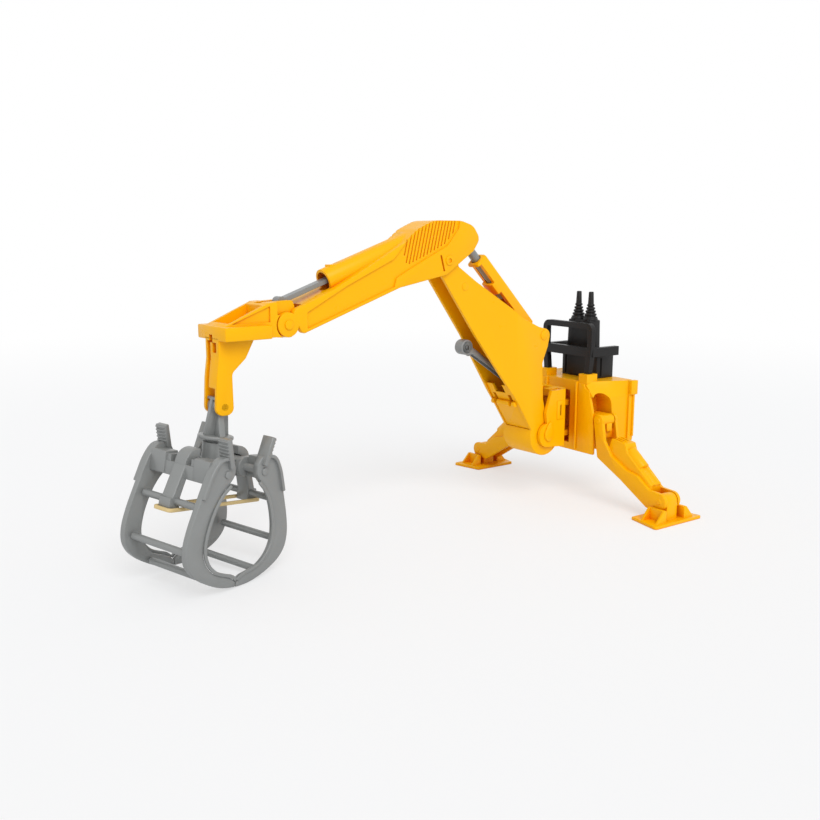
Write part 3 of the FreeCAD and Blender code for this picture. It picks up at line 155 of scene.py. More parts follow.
def moulded(name, colour, roughness, grain_mm, flow, edge, grain_height, shine=0.25, metal=0.0, deep=None):
    """A moulded plastic: soft edges, fine mould grain, faint flow clouds and, when a hollow colour is given,
    painted shade that darkens the hollows toward it.
    """
    material = bpy.data.materials.get(name) or bpy.data.materials.new(name)
    material.use_nodes = True
    tree = material.node_tree
    tree.nodes.clear()
    place = add_node(tree, "TexCoord").outputs["Object"]
    clouds = add_node(tree, "TexNoise", sockets={"Scale": 1.0 / (9.0 * MM), "Detail": 3.0, "Roughness": 0.6},
                      links={"Vector": place})
    grain = add_node(tree, "TexNoise", sockets={"Scale": 1.0 / (grain_mm * MM), "Detail": 2.0,
                                                "Roughness": 0.55},
                     links={"Vector": place})
    tint = add_node(tree, "Mix", {"data_type": "RGBA", "blend_type": "MIX"})
    base = linear(colour)
    tree.links.new(clouds.outputs["Fac"], tint.inputs[0])
    tint.inputs[6].default_value = tuple(c * (1.0 - flow) for c in base[:3]) + (1.0,)
    tint.inputs[7].default_value = tuple(min(1.0, c * (1.0 + flow)) for c in base[:3]) + (1.0,)
    skin_colour = tint.outputs[2]
    if deep:
        # Painted shade: where ambient occlusion finds a hollow, crease or channel, the yellow is mixed toward
        # the deep orange, standing in for shade and bounced yellow light.
        hollow = add_node(tree, "AmbientOcclusion", {"samples": 6}, {"Distance": 11.0 * MM})
        reach = add_node(tree, "MapRange", sockets={"From Min": 0.05, "From Max": 0.55},
                         links={"Value": hollow.outputs["AO"]})
        painted_shade_mix = add_node(tree, "Mix", {"data_type": "RGBA", "blend_type": "MIX"})
        tree.links.new(reach.outputs["Result"], painted_shade_mix.inputs[0])
        painted_shade_mix.inputs[6].default_value = linear(deep)
        tree.links.new(tint.outputs[2], painted_shade_mix.inputs[7])
        skin_colour = painted_shade_mix.outputs[2]
    gloss = add_node(tree, "MapRange", sockets={"From Min": 0.3, "From Max": 0.7, "To Min": roughness - 0.05,
                                                "To Max": roughness + 0.06},
                                                links={"Value": clouds.outputs["Fac"]})
    soft = add_node(tree, "Bevel", {"samples": 6}, {"Radius": edge})
    bump = add_node(tree, "Bump", sockets={"Strength": 0.5, "Distance": grain_height},
                    links={"Height": grain.outputs["Fac"], "Normal": soft.outputs["Normal"]})
    skin = add_node(tree, "BsdfPrincipled", sockets={"IOR": 1.53, "Specular IOR Level": shine,
                                                     "Metallic": metal},
                    links={"Base Color": skin_colour, "Roughness": gloss.outputs["Result"],
                           "Normal": bump.outputs["Normal"]})
    add_node(tree, "OutputMaterial", links={"Surface": skin.outputs["BSDF"]})
    return material


FINISHES = {}


def finishes():
    """The four finishes of the toy, made once."""
    if FINISHES:
        return FINISHES
    look = bpy.context.scene.arm_finish
    FINISHES.update({
        # ABS, moulded and satin: broad soft highlights, and edges that catch the light. Its hollows get
        # painted shade, a deep orange mixed in by ambient occlusion.
        "yellow": moulded("Yellow moulded ABS", look.yellow, 0.32, 0.35, 0.02, look.edge_round, look.grain,
                          0.16, 0.0, look.deep),
        # ABS with silver pigment: greyer highlights and a slightly mottled skin.
        "grey": moulded("Silver-grey moulded ABS", look.grey, 0.36, 0.30, 0.07, look.edge_round, look.grain,
                        0.45, 0.2),
        # Black ABS with a spark-eroded grain: dull, with highlights only along edges.
        "black": moulded("Black moulded ABS", look.black, 0.40, 0.30, 0.08, look.edge_round,
                          look.grain * 1.5),
        # Natural rubber, dusty and dull.
        "rubber": moulded("Tan natural rubber", look.tan, 0.62, 0.25, 0.08, 0.1 * MM, look.grain),
    })
    return FINISHES


PLACES = {
    "xz": lambda a, b, t: (a, t, b),
    "yz": lambda a, b, t: (t, a, b),
    "xy": lambda a, b, t: (a, b, t),
}
SIDES = (("left", 1), ("right", -1))
ORIGIN = Vector((106.791, 0.0, 0.0))
TO_METRES = Matrix.Scale(MM, 4) @ Matrix.Translation(-ORIGIN)
STILL = Matrix.Identity(4)
ARM = Matrix.Rotation(math.radians(3.6), 4, "Z")
HANG = ARM @ Matrix.Translation((211.4, 0.0, 74.64)) @ Matrix.Rotation(math.radians(-8.5), 4, "Y")
GRAPPLE = HANG @ Matrix.Rotation(math.radians(16.4), 4, "Z")
HALF_TURN = Matrix.Rotation(math.pi, 4, "Z")


def rounded(corners, steps=7):
    """An outline's points, each corner turned on an arc of its own radius."""
    points = []
    for here, corner in enumerate(corners):
        at = Vector(corner[:2])
        back = Vector(corners[here - 1][:2]) - at
        ahead = Vector(corners[(here + 1) % len(corners)][:2]) - at
        room = 0.48 * min(back.length, ahead.length)
        half = back.angle(ahead) / 2
        radius = corner[2] if len(corner) > 2 else 0.0
        if radius <= 0.0 or half > 1.5:
            points.append(at)
            continue
        run = min(radius / math.tan(half), room)
        radius = run * math.tan(half)
        centre = at + (back.normalized() + ahead.normalized()).normalized() * (radius / math.sin(half))
        first = at + back.normalized() * run - centre
        last = at + ahead.normalized() * run - centre
        for step in range(steps + 1):
            share = step / steps
            points.append(centre + (first * (1.0 - share) + last * share).normalized() * radius)
    return points


def smooth_run(points, steps=4):
    """A smooth curve through points, with straight ends."""
    run = [Vector(point) for point in points]
    made = []
    for here in range(len(run) - 1):
        before = run[max(here - 1, 0)]
        after = run[min(here + 2, len(run) - 1)]
        lead_out = (run[here + 1] - before) * 0.5
        lead_in = (after - run[here]) * 0.5
        for step in range(steps):
            t = step / steps
            made.append(run[here] * (2 * t ** 3 - 3 * t ** 2 + 1) + lead_out * (t ** 3 - 2 * t ** 2 + t)
                        + run[here + 1] * (3 * t ** 2 - 2 * t ** 3) + lead_in * (t ** 3 - t ** 2))
    return [tuple(point) for point in made] + [tuple(run[-1])]


def form(mesh):
    """A loose solid that is still to be joined or carved."""
    data = bpy.data.meshes.new("form")
    mesh.to_mesh(data)
    mesh.free()
    made = bpy.data.objects.new("form", data)
    bpy.context.scene.collection.objects.link(made)
    return made


def soften(mesh, ease):
    """Rounds the sharp edges of a solid, as a mould does."""
    sharp = [edge for edge in mesh.edges if len(edge.link_faces) == 2 and edge.calc_face_angle() > 0.6]
    bmesh.ops.bevel(mesh, geom=sharp, offset=ease, segments=2, profile=0.5, affect="EDGES",
                    clamp_overlap=True, material=-1)


def prism(corners, low, high, plane="xz", ease=0.0, steps=7):
    """A plate of an outline, from low to high along the third axis."""
    place = PLACES[plane]
    mesh = bmesh.new()
    cap = mesh.faces.new([mesh.verts.new(place(a, b, low)) for a, b in rounded(corners, steps)])
    grown = bmesh.ops.extrude_face_region(mesh, geom=[cap])["geom"]
    bmesh.ops.translate(mesh, vec=Vector(place(0.0, 0.0, high - low)),
                        verts=[thing for thing in grown if isinstance(thing, bmesh.types.BMVert)])
    bmesh.ops.recalc_face_normals(mesh, faces=mesh.faces[:])
    if ease:
        soften(mesh, ease)
    return form(mesh)


def block(x, y, height, ease=0.0):
    """A box between the low and high of each axis."""
    return prism([(x[0], y[0]), (x[1], y[0]), (x[1], y[1]), (x[0], y[1])], height[0], height[1], "xy", ease)


AXES = {"x": Matrix.Rotation(math.pi / 2, 4, "Y"), "y": Matrix.Rotation(-math.pi / 2, 4, "X"),
        "z": Matrix.Identity(4)}


def rod(axis, radius, start, length, ease=0.0, end_radius=None, sides=48):
    """A round rod or cone from its start along +x, +y or +z."""
    mesh = bmesh.new()
    at = Matrix.Translation(start) @ AXES[axis] @ Matrix.Translation((0.0, 0.0, length / 2))
    bmesh.ops.create_cone(mesh, cap_ends=True, segments=sides, radius1=radius,
                          radius2=radius if end_radius is None else end_radius, depth=length, matrix=at)
    if ease:
        soften(mesh, ease)
    return form(mesh)


def across(radius, x, height, half, ease=0.0):
    """A rod through the middle plane, along y."""
    return rod("y", radius, (x, -half, height), half * 2, ease)


def moved(thing, matrix):
    """The same solid somewhere else."""
    thing.data.transform(matrix)
    return thing


def both(maker):
    """The same solid on the left and on the right of the middle plane."""
    return [maker(sign) for _, sign in SIDES]


def span(sign, near, far):
    """A stretch of y on one side of the middle plane."""
    return (near, far) if sign > 0 else (-far, -near)


def carve(first, add=(), take=()):
    """One closed solid: the first, with others joined on and then taken away."""
    for kind, others in (("UNION", add), ("DIFFERENCE", take)):
        for other in others:
            step = first.modifiers.new(kind, "BOOLEAN")
            step.operation = kind
            step.object = other
            step.solver = "EXACT"
    bpy.context.view_layer.update()
    graph = bpy.context.evaluated_depsgraph_get()
    data = bpy.data.meshes.new_from_object(first.evaluated_get(graph))
    for spent in (first, *add, *take):
        bpy.data.objects.remove(spent)
    made = bpy.data.objects.new("form", data)
    bpy.context.scene.collection.objects.link(made)
    return made


def piece(name, thing, place, body, finish, *nodes):
    """A finished piece: set in place, smoothed, painted and tied to its body."""
    mesh = bmesh.new()
    mesh.from_mesh(thing.data)
    bmesh.ops.remove_doubles(mesh, verts=mesh.verts[:], dist=0.002)
    bmesh.ops.dissolve_limit(mesh, angle_limit=math.radians(0.5), verts=mesh.verts[:], edges=mesh.edges[:])
    mesh.transform(TO_METRES @ place)
    bmesh.ops.recalc_face_normals(mesh, faces=mesh.faces[:])
    for face in mesh.faces:
        face.smooth = True
    for edge in mesh.edges:
        edge.smooth = len(edge.link_faces) == 2 and edge.calc_face_angle() < math.radians(32.0)
    data = bpy.data.meshes.new(name)
    mesh.to_mesh(data)
    mesh.free()
    bpy.data.objects.remove(thing)
    made = bpy.data.objects.new(name, data)
    bpy.context.scene.collection.objects.link(made)
    data.materials.append(finishes()[finish])
    if body:
        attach(made, body)
    if nodes:
        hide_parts(*nodes)
    return made


# Pins, in the arm's plane: ahead of the slewing axis, height.
BOOM_FOOT = (21.0, 38.0)
LIFT_FOOT = (11.6, 50.0)
LIFT_RISE, LIFT_RUN = 38.7, 59.9
HORN = (24.0, 93.0)
ELBOW = (90.0, 133.5)
TIP = (181.2, 107.6)
# Pins of a leg: beside the middle, height. The jaw's pin: from the hanger's pin.
LEG_PIN = (29.5, 46.0)
FOOT_PIN = (73.5, 10.6)
JAW_PIN = (10.6, -25.4)
# Half widths across the arm, and the walls of the boom.
BOOM_FOOT_HALF = 10.5
BOOM_TOP_HALF = 6.4
BOOM_WALL = 1.6
STICK_HALF = 8.7
BRACKET_HALF = 6.0
LEG_HALF = 6.0
LEG_ROOM_HALF = 4.1
LEG_CORE_HALF = 4.2
# How far out a jaw's arm, the grapple's hook and the band lie.
JAW_ARM_THICK = 2.8
JAW_NEAR_FACE = 17.4
JAW_FAR_FACE = 20.2
BAND_LOW, BAND_HIGH = -42.8, -41.2

# Outlines in the arm's plane: ahead of the slewing axis, height, corner radius.
BOOM_SIDE = ((96.5, 131.0, 3.0), (95.0, 139.5, 5.0), (83.5, 139.0, 5.0), (82.0, 130.4, 1.0),
             (39.0, 102.6, 2.0),
             (27.5, 97.6, 1.5), (18.4, 95.5, 4.0), (20.6, 86.6, 3.5), (24.4, 78.0, 2.0), (23.2, 58.0, 0.0),
             (19.5, 44.0, 0.0), (31.2, 41.0, 0.0), (41.4, 56.4, 0.0))
BOOM_ROOM = ((100.5, 149.5), (80.0, 149.5), (80.0, 126.4), (50.5, 104.6), (36.5, 88.0), (31.0, 70.0),
             (29.5, 53.0),
             (29.8, 42.0), (53.4, 42.0), (71.4, 70.4), (110.5, 131.0))
HORN_ROOM = ((51.0, 112.0), (33.6, 90.0), (28.0, 83.0), (10.4, 83.0), (10.4, 112.0))
BOOM_COVER = ((31.46, 42.0), (48.42, 67.6), (46.62, 67.6), (29.66, 42.0))
STICK_SIDE = ((174.0, 103.0, 2.0), (120.0, 121.4, 2.0), (91.4, 126.6, 3.0), (74.0, 137.8, 3.0),
              (69.6, 144.0, 4.0),
              (74.4, 150.4, 7.0), (82.0, 152.6, 14.0), (99.0, 152.6, 16.0), (109.0, 148.4, 10.0),
              (116.6, 142.6, 6.0), (157.0, 122.0, 2.0), (180.0, 113.2, 3.0))
STICK_ROOM = ((171.0, 100.0), (119.0, 118.0), (91.0, 122.0), (72.8, 134.0), (66.0, 142.0), (71.4, 144.4),
              (79.4, 149.0), (99.4, 149.6), (113.2, 140.6), (154.6, 119.6), (171.0, 113.0))
CREST = ((82.6, 156.0, 0.0), (84.0, 148.6, 3.0), (91.0, 140.6, 4.0), (104.0, 134.8, 0.0), (122.4, 126.0, 0.0),
         (123.6, 121.9, 0.0), (171.6, 105.4, 0.0), (171.6, 112.4, 0.0), (150.0, 123.4, 0.0),
         (124.0, 134.6, 6.0),
         (112.6, 146.6, 2.0), (112.6, 156.0, 0.0))
RIB_FIELD = ((82.6, 156.0), (84.6, 148.6), (91.6, 141.2), (104.0, 135.6), (115.5, 131.2), (118.0, 139.0),
             (112.6, 146.6), (112.6, 156.0))
CARRIER_SIDE = ((177.2, 118.0, 2.0), (190.5, 117.4, 1.0), (211.6, 108.4, 0.8), (211.6, 102.6, 0.8),
                (187.4, 102.6, 0.0), (177.0, 101.6, 3.0), (174.6, 109.0, 3.0))
BRACKET_SIDE = ((195.6, 104.0, 0.5), (200.8, 94.4, 4.0), (207.4, 88.6, 3.0), (207.2, 71.0, 3.2),
                (215.6, 71.0, 3.2),
                (214.6, 86.6, 0.0), (213.4, 95.0, 4.0), (213.4, 104.0, 0.5))
# A jaw arm's outer and inner edge, as smooth curves: from the middle, above the hanger pin.
JAW_OUTER_CURVE = ((8.4, -19.2), (12.4, -18.0), (16.6, -19.4), (20.2, -24.6), (22.6, -31.0), (25.0, -38.0),
                   (27.6, -46.0), (29.1, -53.6), (28.4, -60.0), (25.2, -64.8), (19.8, -68.6), (13.2, -71.6),
                   (6.8, -73.4), (0.2, -74.0))
JAW_INNER_CURVE = ((0.2, -71.8), (3.2, -69.6), (7.6, -68.4), (13.0, -66.4), (17.6, -62.2), (20.0, -56.4),
                   (19.8, -50.0),
                   (18.2, -43.6), (15.8, -37.8), (12.6, -33.0), (8.8, -29.4), (6.4, -26.0), (6.3, -22.4))
# Outlines of an outrigger: beside the middle, height, corner radius.
LEG_SIDE = ((26.3, 45.0, 0.0), (32.8, 45.0, 0.0), (34.4, 35.6, 4.0), (39.6, 28.6, 4.0), (50.4, 22.8, 5.0),
            (58.2, 21.2, 3.0), (66.6, 15.4, 3.0), (73.5, 15.0, 0.0), (73.5, 6.2, 0.0), (65.4, 5.6, 2.0),
            (47.0, 16.6, 0.0), (29.6, 25.6, 2.0))
LEG_CORE = ((38.4, 37.6, 0.8), (47.8, 36.2, 0.8), (49.6, 31.4, 0.0), (58.0, 24.6, 0.0), (66.4, 17.6, 0.0),
            (66.4, 8.4, 0.0), (46.0, 20.0, 0.0), (34.4, 26.6, 1.0))


def flares(inset):
    """The wedges outside the boom's tapering side walls."""
    wide, slim = BOOM_FOOT_HALF - inset, BOOM_TOP_HALF - inset
    return both(lambda sign: prism([(44.0, wide * sign), (70.0, slim * sign), (115.0, slim * sign),
                                    (115.0, 24.0 * sign), (44.0, 24.0 * sign)], -20.0, 200.0, "xy"))


def boom_shell():
    """The boom: an open channel, wide at the foot, with a horn behind."""
    inner = BOOM_FOOT_HALF - BOOM_WALL
    side = prism(BOOM_SIDE, -BOOM_FOOT_HALF, BOOM_FOOT_HALF, ease=0.45)
    foot = across(11.5, *BOOM_FOOT, BOOM_FOOT_HALF, 0.45)
    room = carve(prism(BOOM_ROOM, -inner, inner), take=flares(BOOM_WALL))
    horn = prism(HORN_ROOM, -4.6, 4.6)
    slot = block((11.5, 40.2), (-3.6, 3.6), (50.0, 74.0))
    shell = carve(side, add=[foot], take=flares(0.0) + [room, horn, slot])
    mark = both(lambda sign: rod("y", 2.0, (77.6, 6.2 if sign > 0 else -6.7, 120.4), 0.5, 0.2))
    knob = both(lambda sign: rod("y", 2.6, (HORN[0], 10.4 if sign > 0 else -11.0, HORN[1]), 0.6, 0.25))
    return carve(shell, add=knob + mark)


def boom_cover():
    """The leaning cover between the boom's walls, notched for the push rod."""
    inner = BOOM_FOOT_HALF - BOOM_WALL
    cover = carve(prism(BOOM_COVER, -inner, inner, ease=0.3), take=flares(BOOM_WALL))
    notch = block((21.4, 61.4), (-3.6, 3.6), (63.0, 77.6))
    slots = both(lambda sign: block((21.4, 61.4), span(sign, 4.5, 6.7), (55.2, 62.0)))
    bead = across(1.5, 42.6, 57.0, 8.8, 0.3)
    return carve(cover, add=[bead], take=[notch] + slots)


def cross_line(outline, x, lean):
    """Where a leaning line at x crosses an outline, as its lowest and highest height."""
    found = []
    for here, (a, b) in enumerate(outline):
        c, d = outline[(here + 1) % len(outline)]
        start = a + lean * (b - outline[0][1]) - x
        end = c + lean * (d - outline[0][1]) - x
        if start * end < 0.0:
            found.append(b + (d - b) * start / (start - end))
    return (min(found), max(found)) if len(found) > 1 else None


def groove_row(face, depth, count, step, first, wide, lean):
    """The slanted grooves in both sides of the stick's head, as one tool."""
    mesh = bmesh.new()
    top = RIB_FIELD[0][1]
    for number in range(count):
        x = first + step * number
        crossing = cross_line(RIB_FIELD, x, lean)
        if not crossing:
            continue
        low, high = crossing[0] + 0.5, crossing[1] - 0.4
        if high - low < 1.5:
            continue
        for _, sign in SIDES:
            inner, outer = (face - depth) * sign, (face + 3.0) * sign
            ring = []
            for height, side in ((low, 0.0), (low, wide), (high, wide), (high, 0.0)):
                ring.append(mesh.verts.new((x + side - lean * (height - top), inner, height)))
            cap = mesh.faces.new(ring)
            grown = bmesh.ops.extrude_face_region(mesh, geom=[cap])["geom"]
            bmesh.ops.translate(mesh, vec=Vector((0.0, outer - inner, 0.0)),
                                verts=[thing for thing in grown if isinstance(thing, bmesh.types.BMVert)])
    bmesh.ops.recalc_face_normals(mesh, faces=mesh.faces[:])
    return form(mesh)


def stick_shell():
    """The stick: ribbed head, crescent border, sunken sides and the tilt tube on its back."""
    look = bpy.context.scene.arm_forms
    half = STICK_HALF
    face = half - look.recess / MM
    tube_at = Matrix.Translation((157.5, 0.0, 125.2)) @ Matrix.Rotation(math.radians(-71.0), 4, "Y")
    solid = [across(5.4, *TIP, half, 0.5), moved(rod("z", 5.5, (0, 0, 0), 60.0, 0.3), tube_at),
             block((151.6, 155.2), (-2.2, 2.2), (127.0, 132.6), 0.3)]
    recess = both(lambda sign: prism(CREST, *span(sign, face, half + 2.0)))
    room = [prism(STICK_ROOM, -6.7, 6.7), prism([(66.0, 142.0), (66.0, 156.6), (84.0, 156.6), (84.0, 149.0)],
                                                -3.3, 3.3),
            moved(rod("z", 4.2, (0, 0, 0), 36.0), Matrix.Translation((1.9, 0.0, -0.65)) @ tube_at),
            across(11.7, *TIP, 5.9)]
    slots = both(lambda sign: prism([(94.9, 136.2), (92.7, 128.6), (93.7, 128.3), (95.9, 135.9)],
                                    *span(sign, half - 1.0, half + 1.0)))
    grooves = groove_row(face, look.groove_deep / MM, look.groove_count, look.groove_step / MM, 84.6,
                         look.groove_wide / MM, math.tan(look.groove_lean))
    return carve(prism(STICK_SIDE, -half, half, ease=0.6), add=solid, take=recess + room + slots + [grooves])


def push_rod():
    """The lift rod: a half tube, hollow below, with a ringed round end."""
    half, reach = 2.7, 72.3
    tube = carve(rod("x", half, (3.0, 0.0, 0.0), reach - 3.0),
                 take=[rod("x", half - 0.8, (6.0, 0.0, 0.0), reach - 11.0),
                       block((6.0, reach - 5.0), (-4.0, 4.0), (-4.0, -0.9))])
    rings = both(lambda sign: carve(rod("y", 3.1, (reach, span(sign, half - 0.5, half + 0.5)[0], 0.0), 1.0),
                                    take=[rod("y", 1.3, (reach, -4.0, 0.0), 8.0)]))
    return carve(tube, add=[across(3.0, 0.0, 0.0, half, 0.3), across(3.9, reach, 0.0, half, 0.3)],
                 take=[across(1.5, 0.0, 0.0, 6.0)] + rings)


def cylinder_housing():
    """The slotted square housing of the stick cylinder, drawn from the horn pin."""
    solid = carve(block((5.5, 57.5), (-4.2, 4.2), (-4.0, 4.0), 1.3),
                  add=[across(3.4, 0.0, 0.0, 4.3, 0.3), block((0.0, 8.5), (-2.6, 2.6), (-2.6, 2.6), 0.3)])
    tools = [rod("x", 2.7, (12.5, 0.0, 0.0), 60.0)]
    for start, end in ((42.5, 55.8), (17.2, 35.6)):
        tools.append(block((start, end), (-5.2, 5.2), (-5.0, -1.8)))
    return carve(solid, take=tools)


def carrier_body():
    """The tool carrier: sunken cheeks, a collar and the bracket that holds the hanger."""
    rooms = []
    for _, sign in SIDES:
        rooms.append(rod("y", 6.0, (TIP[0], 5.6 if sign > 0 else -9.7, TIP[1]), 4.1))
        rooms.append(block((169.2, 181.2), span(sign, 5.6, 9.7), (93.6, 122.0)))
        rooms.append(block((180.2, 186.6), span(sign, 5.6, 9.7), (112.0, 122.0)))
        rooms.append(prism([(190.2, 109.3), (190.2, 116.0), (208.4, 109.3)], *span(sign, 8.0, 9.7)))
    fork = carve(prism(CARRIER_SIDE, -STICK_HALF, STICK_HALF, ease=0.4), take=rooms)
    collar = block((191.5, 213.4), (-12.7, 12.7), (102.6, 108.4), 0.5)
    bracket = prism(BRACKET_SIDE, -BRACKET_HALF, BRACKET_HALF, ease=0.4)
    tools = [block((171.2, 191.5), (-2.5, 2.5), (111.7, 122.0)),
             block((193.0, 209.0), (-6.8, 6.8), (106.4, 122.0)),
             block((200.0, 210.8), (-4.2, 4.2), (60.0, 92.0)),
             block((208.4, 221.4), (-4.2, 4.2), (60.0, 82.6)),
             block((210.0, 221.4), (-4.2, -1.4), (60.0, 102.2)),
             block((210.8, 217.4), (0.6, 3.8), (97.4, 101.6)),
             block((210.8, 217.4), (-2.2, 0.6), (101.6, 104.8))]
    screw = rod("z", 1.9, (197.6, 4.4, 107.4), 1.2, 0.3)
    return carve(carve(fork, add=[collar, bracket], take=tools), add=[screw])


def hanger_fins():
    """Four tapering fins under the pin's eye, on a disc with the rotator's neck."""
    along = prism([(-3.6, 3.6), (3.6, 3.6), (5.6, -12.6), (-5.6, -12.6)], -1.0, 1.0, ease=0.25)
    crossing = prism([(-3.9, 3.6), (3.9, 3.6), (3.9, -5.7), (6.6, -12.6), (-6.6, -12.6), (-3.9, -5.7)], -1.4,
                     1.4,
                     "yz", 0.25)
    return carve(along, add=[crossing, across(3.3, 0.0, 0.0, 3.9, 0.3),
                             block((-3.6, 3.6), (-3.9, 3.9), (2.4, 3.6), 0.2),
                             rod("z", 7.6, (0.0, 0.0, -14.2), 1.6, 0.4),
                             rod("z", 3.4, (0.0, 0.0, -20.4), 7.2)])


def strip(path, width):
    """An outline that follows a path and comes back beside it."""
    side = []
    for here, point in enumerate(path):
        ahead = path[min(here + 1, len(path) - 1)] - path[max(here - 1, 0)]
        side.append(point + Vector((ahead.y, -ahead.x)).normalized() * width)
    return [tuple(point) for point in path] + [tuple(point) for point in reversed(side)]


def jaw_arm(low, grow):
    """One curved arm of a jaw with its raised inner rim, capped top and leaning ribbed tab."""
    look = bpy.context.scene.arm_forms
    outer, inner = smooth_run(JAW_OUTER_CURVE), smooth_run(JAW_INNER_CURVE)
    plate = prism(outer + inner, low, low + JAW_ARM_THICK, ease=0.45)
    outer_face = low + JAW_ARM_THICK if grow > 0 else low
    raised = (outer_face - 0.3, outer_face + 0.6) if grow > 0 else (outer_face - 0.6, outer_face + 0.3)
    rim = prism(strip([Vector(point) for point in inner[1:-8]], -look.rim_wide / MM), *raised, ease=0.2)
    cap_span = (outer_face - 0.3, outer_face + 1.3) if grow > 0 else (outer_face - 1.3, outer_face + 0.3)
    cap = prism(strip([Vector(point) for point in outer[2:19]], 1.5), *cap_span, ease=0.3)
    middle = low + JAW_ARM_THICK / 2 + look.tab_out / MM * grow
    at = Matrix.Translation((8.4, middle, -22.4)) @ Matrix.Rotation(look.tab_lean, 4, "Y")
    tab = [moved(block((0.0, 2.4), (-3.0, 3.0), (0.0, 12.6), 0.4), at)]
    for number in range(5):
        tab.append(moved(block((1.9, 2.9), (-2.7, 2.7), (5.4 + number * 1.5, 6.1 + number * 1.5), 0.2), at))
    return carve(plate, add=[rim, cap] + tab)


def jaw_hub():
    """The jaw's hub blocks, the strap with its round top, and the hook block for the band."""
    parts = []
    for _, sign in SIDES:
        parts.append(block((12.0, 18.9), span(sign, 8.6, 17.6), (-29.6, -20.2), 0.4))
        parts.append(rod("y", 4.3, (JAW_PIN[0], 6.1 if sign > 0 else -9.1, JAW_PIN[1]), 3.0, 0.2))
        parts.append(block((10.6, 17.9), span(sign, 6.1, 9.1), (-29.7, -21.1)))
    parts.append(block((15.1, 18.3), (-9.0, 9.0), (-29.7, -23.9), 0.2))
    ring = carve(across(6.6, 11.8, -24.0, 3.4, 0.4),
                 take=[across(4.5, *JAW_PIN, 5.0), block((-1.4, 10.8), (-5.0, 5.0), (-37.4, -13.4))])
    strap = prism([(15.1, -24.0), (18.4, -24.0), (23.4, -37.2), (24.8, -37.2), (24.8, -42.6), (19.4, -42.6),
                   (19.4, -37.2)], -3.4, 3.4, ease=0.4)
    return carve(strap, add=parts + [ring])


def leg(sign):
    """An outrigger: two webs round a moulded cylinder with two rods."""
    webs = carve(prism(LEG_SIDE, -LEG_HALF, LEG_HALF, "yz", 0.4),
                 add=[rod("x", 3.4, (-LEG_HALF, *LEG_PIN), 2 * LEG_HALF, 0.4),
                      rod("x", 4.4, (-LEG_HALF, *FOOT_PIN), 2 * LEG_HALF, 0.4)],
                 take=[block((-LEG_ROOM_HALF, LEG_ROOM_HALF), (18.3, 85.5), (-1.8, 58.0))])
    down = math.radians(-129.4)
    at = Matrix.Translation((0.0, 48.0, 31.8)) @ Matrix.Rotation(down, 4, "X")
    rounds = [moved(rod("z", 3.5, (0.0, 0.0, 0.0), 12.2, 0.3), at)]
    rounds += both(lambda side: moved(rod("z", 1.3, (1.9 * side, 0.0, 0.0), 23.7), at))
    core = prism(LEG_CORE, -LEG_CORE_HALF, LEG_CORE_HALF, "yz", 0.3)
    stop = [block((-LEG_CORE_HALF, LEG_CORE_HALF), (28.6, 31.0), (36.0, 41.0), 0.2),
            block((-2.0, 2.0), (28.2, 32.6), (40.0, 44.6), 0.3)]
    grooves = [block((start, start + 0.8), (37.0, 47.0), (36.6, 39.0)) for start in (-2.6, 0.0, 2.2)]
    whole = carve(webs, add=[core] + stop + rounds)
    end = block((-LEG_ROOM_HALF, LEG_ROOM_HALF), (66.7, 87.5), (-1.8, 24.6))
    return carve(whole, take=[end] + grooves)


def foot():
    """A foot: its pad, the knuckle's post and a hollow wing before and behind."""
    pad = prism([(-14.0, 62.8, 1.0), (14.0, 62.8, 1.0), (18.2, 82.5, 1.5), (-18.2, 82.5, 1.5)], 0.0, 1.6,
                "xy", 0.3)
    parts = [rod("x", 4.0, (-3.9, *FOOT_PIN), 7.8, 0.3), block((-3.9, 3.9), (69.5, 77.5), (0.8, 10.6), 0.2)]
    rooms = []
    for _, sign in SIDES:
        outline = [(6.9 * sign, 0.8), (14.0 * sign, 0.8), (14.0 * sign, 1.6), (8.7 * sign, 7.6),
                   (6.9 * sign, 7.6)]
        parts.append(prism(outline, 69.1, 79.9, ease=0.2))
        rooms.append(block(span(sign, 8.7, 15.0), (70.5, 78.5), (1.6, 10.6)))
    return carve(pad, add=parts, take=rooms)


def base_wall(sign):
    """The housing's front wall ahead of an outrigger's pocket, stepped as it widens downwards."""
    outline = [(13.0, 64.8), (17.5, 64.8), (18.2, 62.6), (21.8, 60.8), (22.4, 56.6), (24.0, 51.0),
               (25.6, 42.0),
               (25.6, 26.0), (13.0, 26.0)]
    wall = prism([(y * sign, height) for y, height in outline], -4.4, -2.6, "yz", 0.3)
    rib = block((-4.0, -1.9), span(sign, 11.2, 12.6), (27.0, 65.4), 0.4)
    return carve(wall, add=[rib])


def base_rear_lug(sign):
    """The rear plate's upper corner lug and the groove in front of the plate."""
    lug = block((-32.2, -27.0), span(sign, 27.4, 30.4), (58.0, 66.0), 0.5)
    rim = block((-31.0, -29.6), span(sign, 27.6, 29.6), (34.0, 58.6), 0.4)
    return carve(lug, add=[rim])


def post_boss(sign):
    """The teardrop boss round the boom's foot pin, and the slotted plate above it."""
    outer = 12.7
    boss = prism([(17.0, 37.4, 3.0), (20.6, 33.6, 3.0), (25.0, 37.6, 3.6), (22.6, 42.6, 3.0),
                  (19.6, 46.4, 0.8)],
                 *span(sign, outer, outer + 1.0), ease=0.35)
    plate = block((9.0, 14.6), span(sign, outer, outer + 0.5), (46.0, 56.4), 0.2)
    slot = block((11.2, 12.4), span(sign, outer + 0.1, outer + 1.0), (48.0, 54.0))
    return carve(boss, add=[carve(plate, take=[slot])])


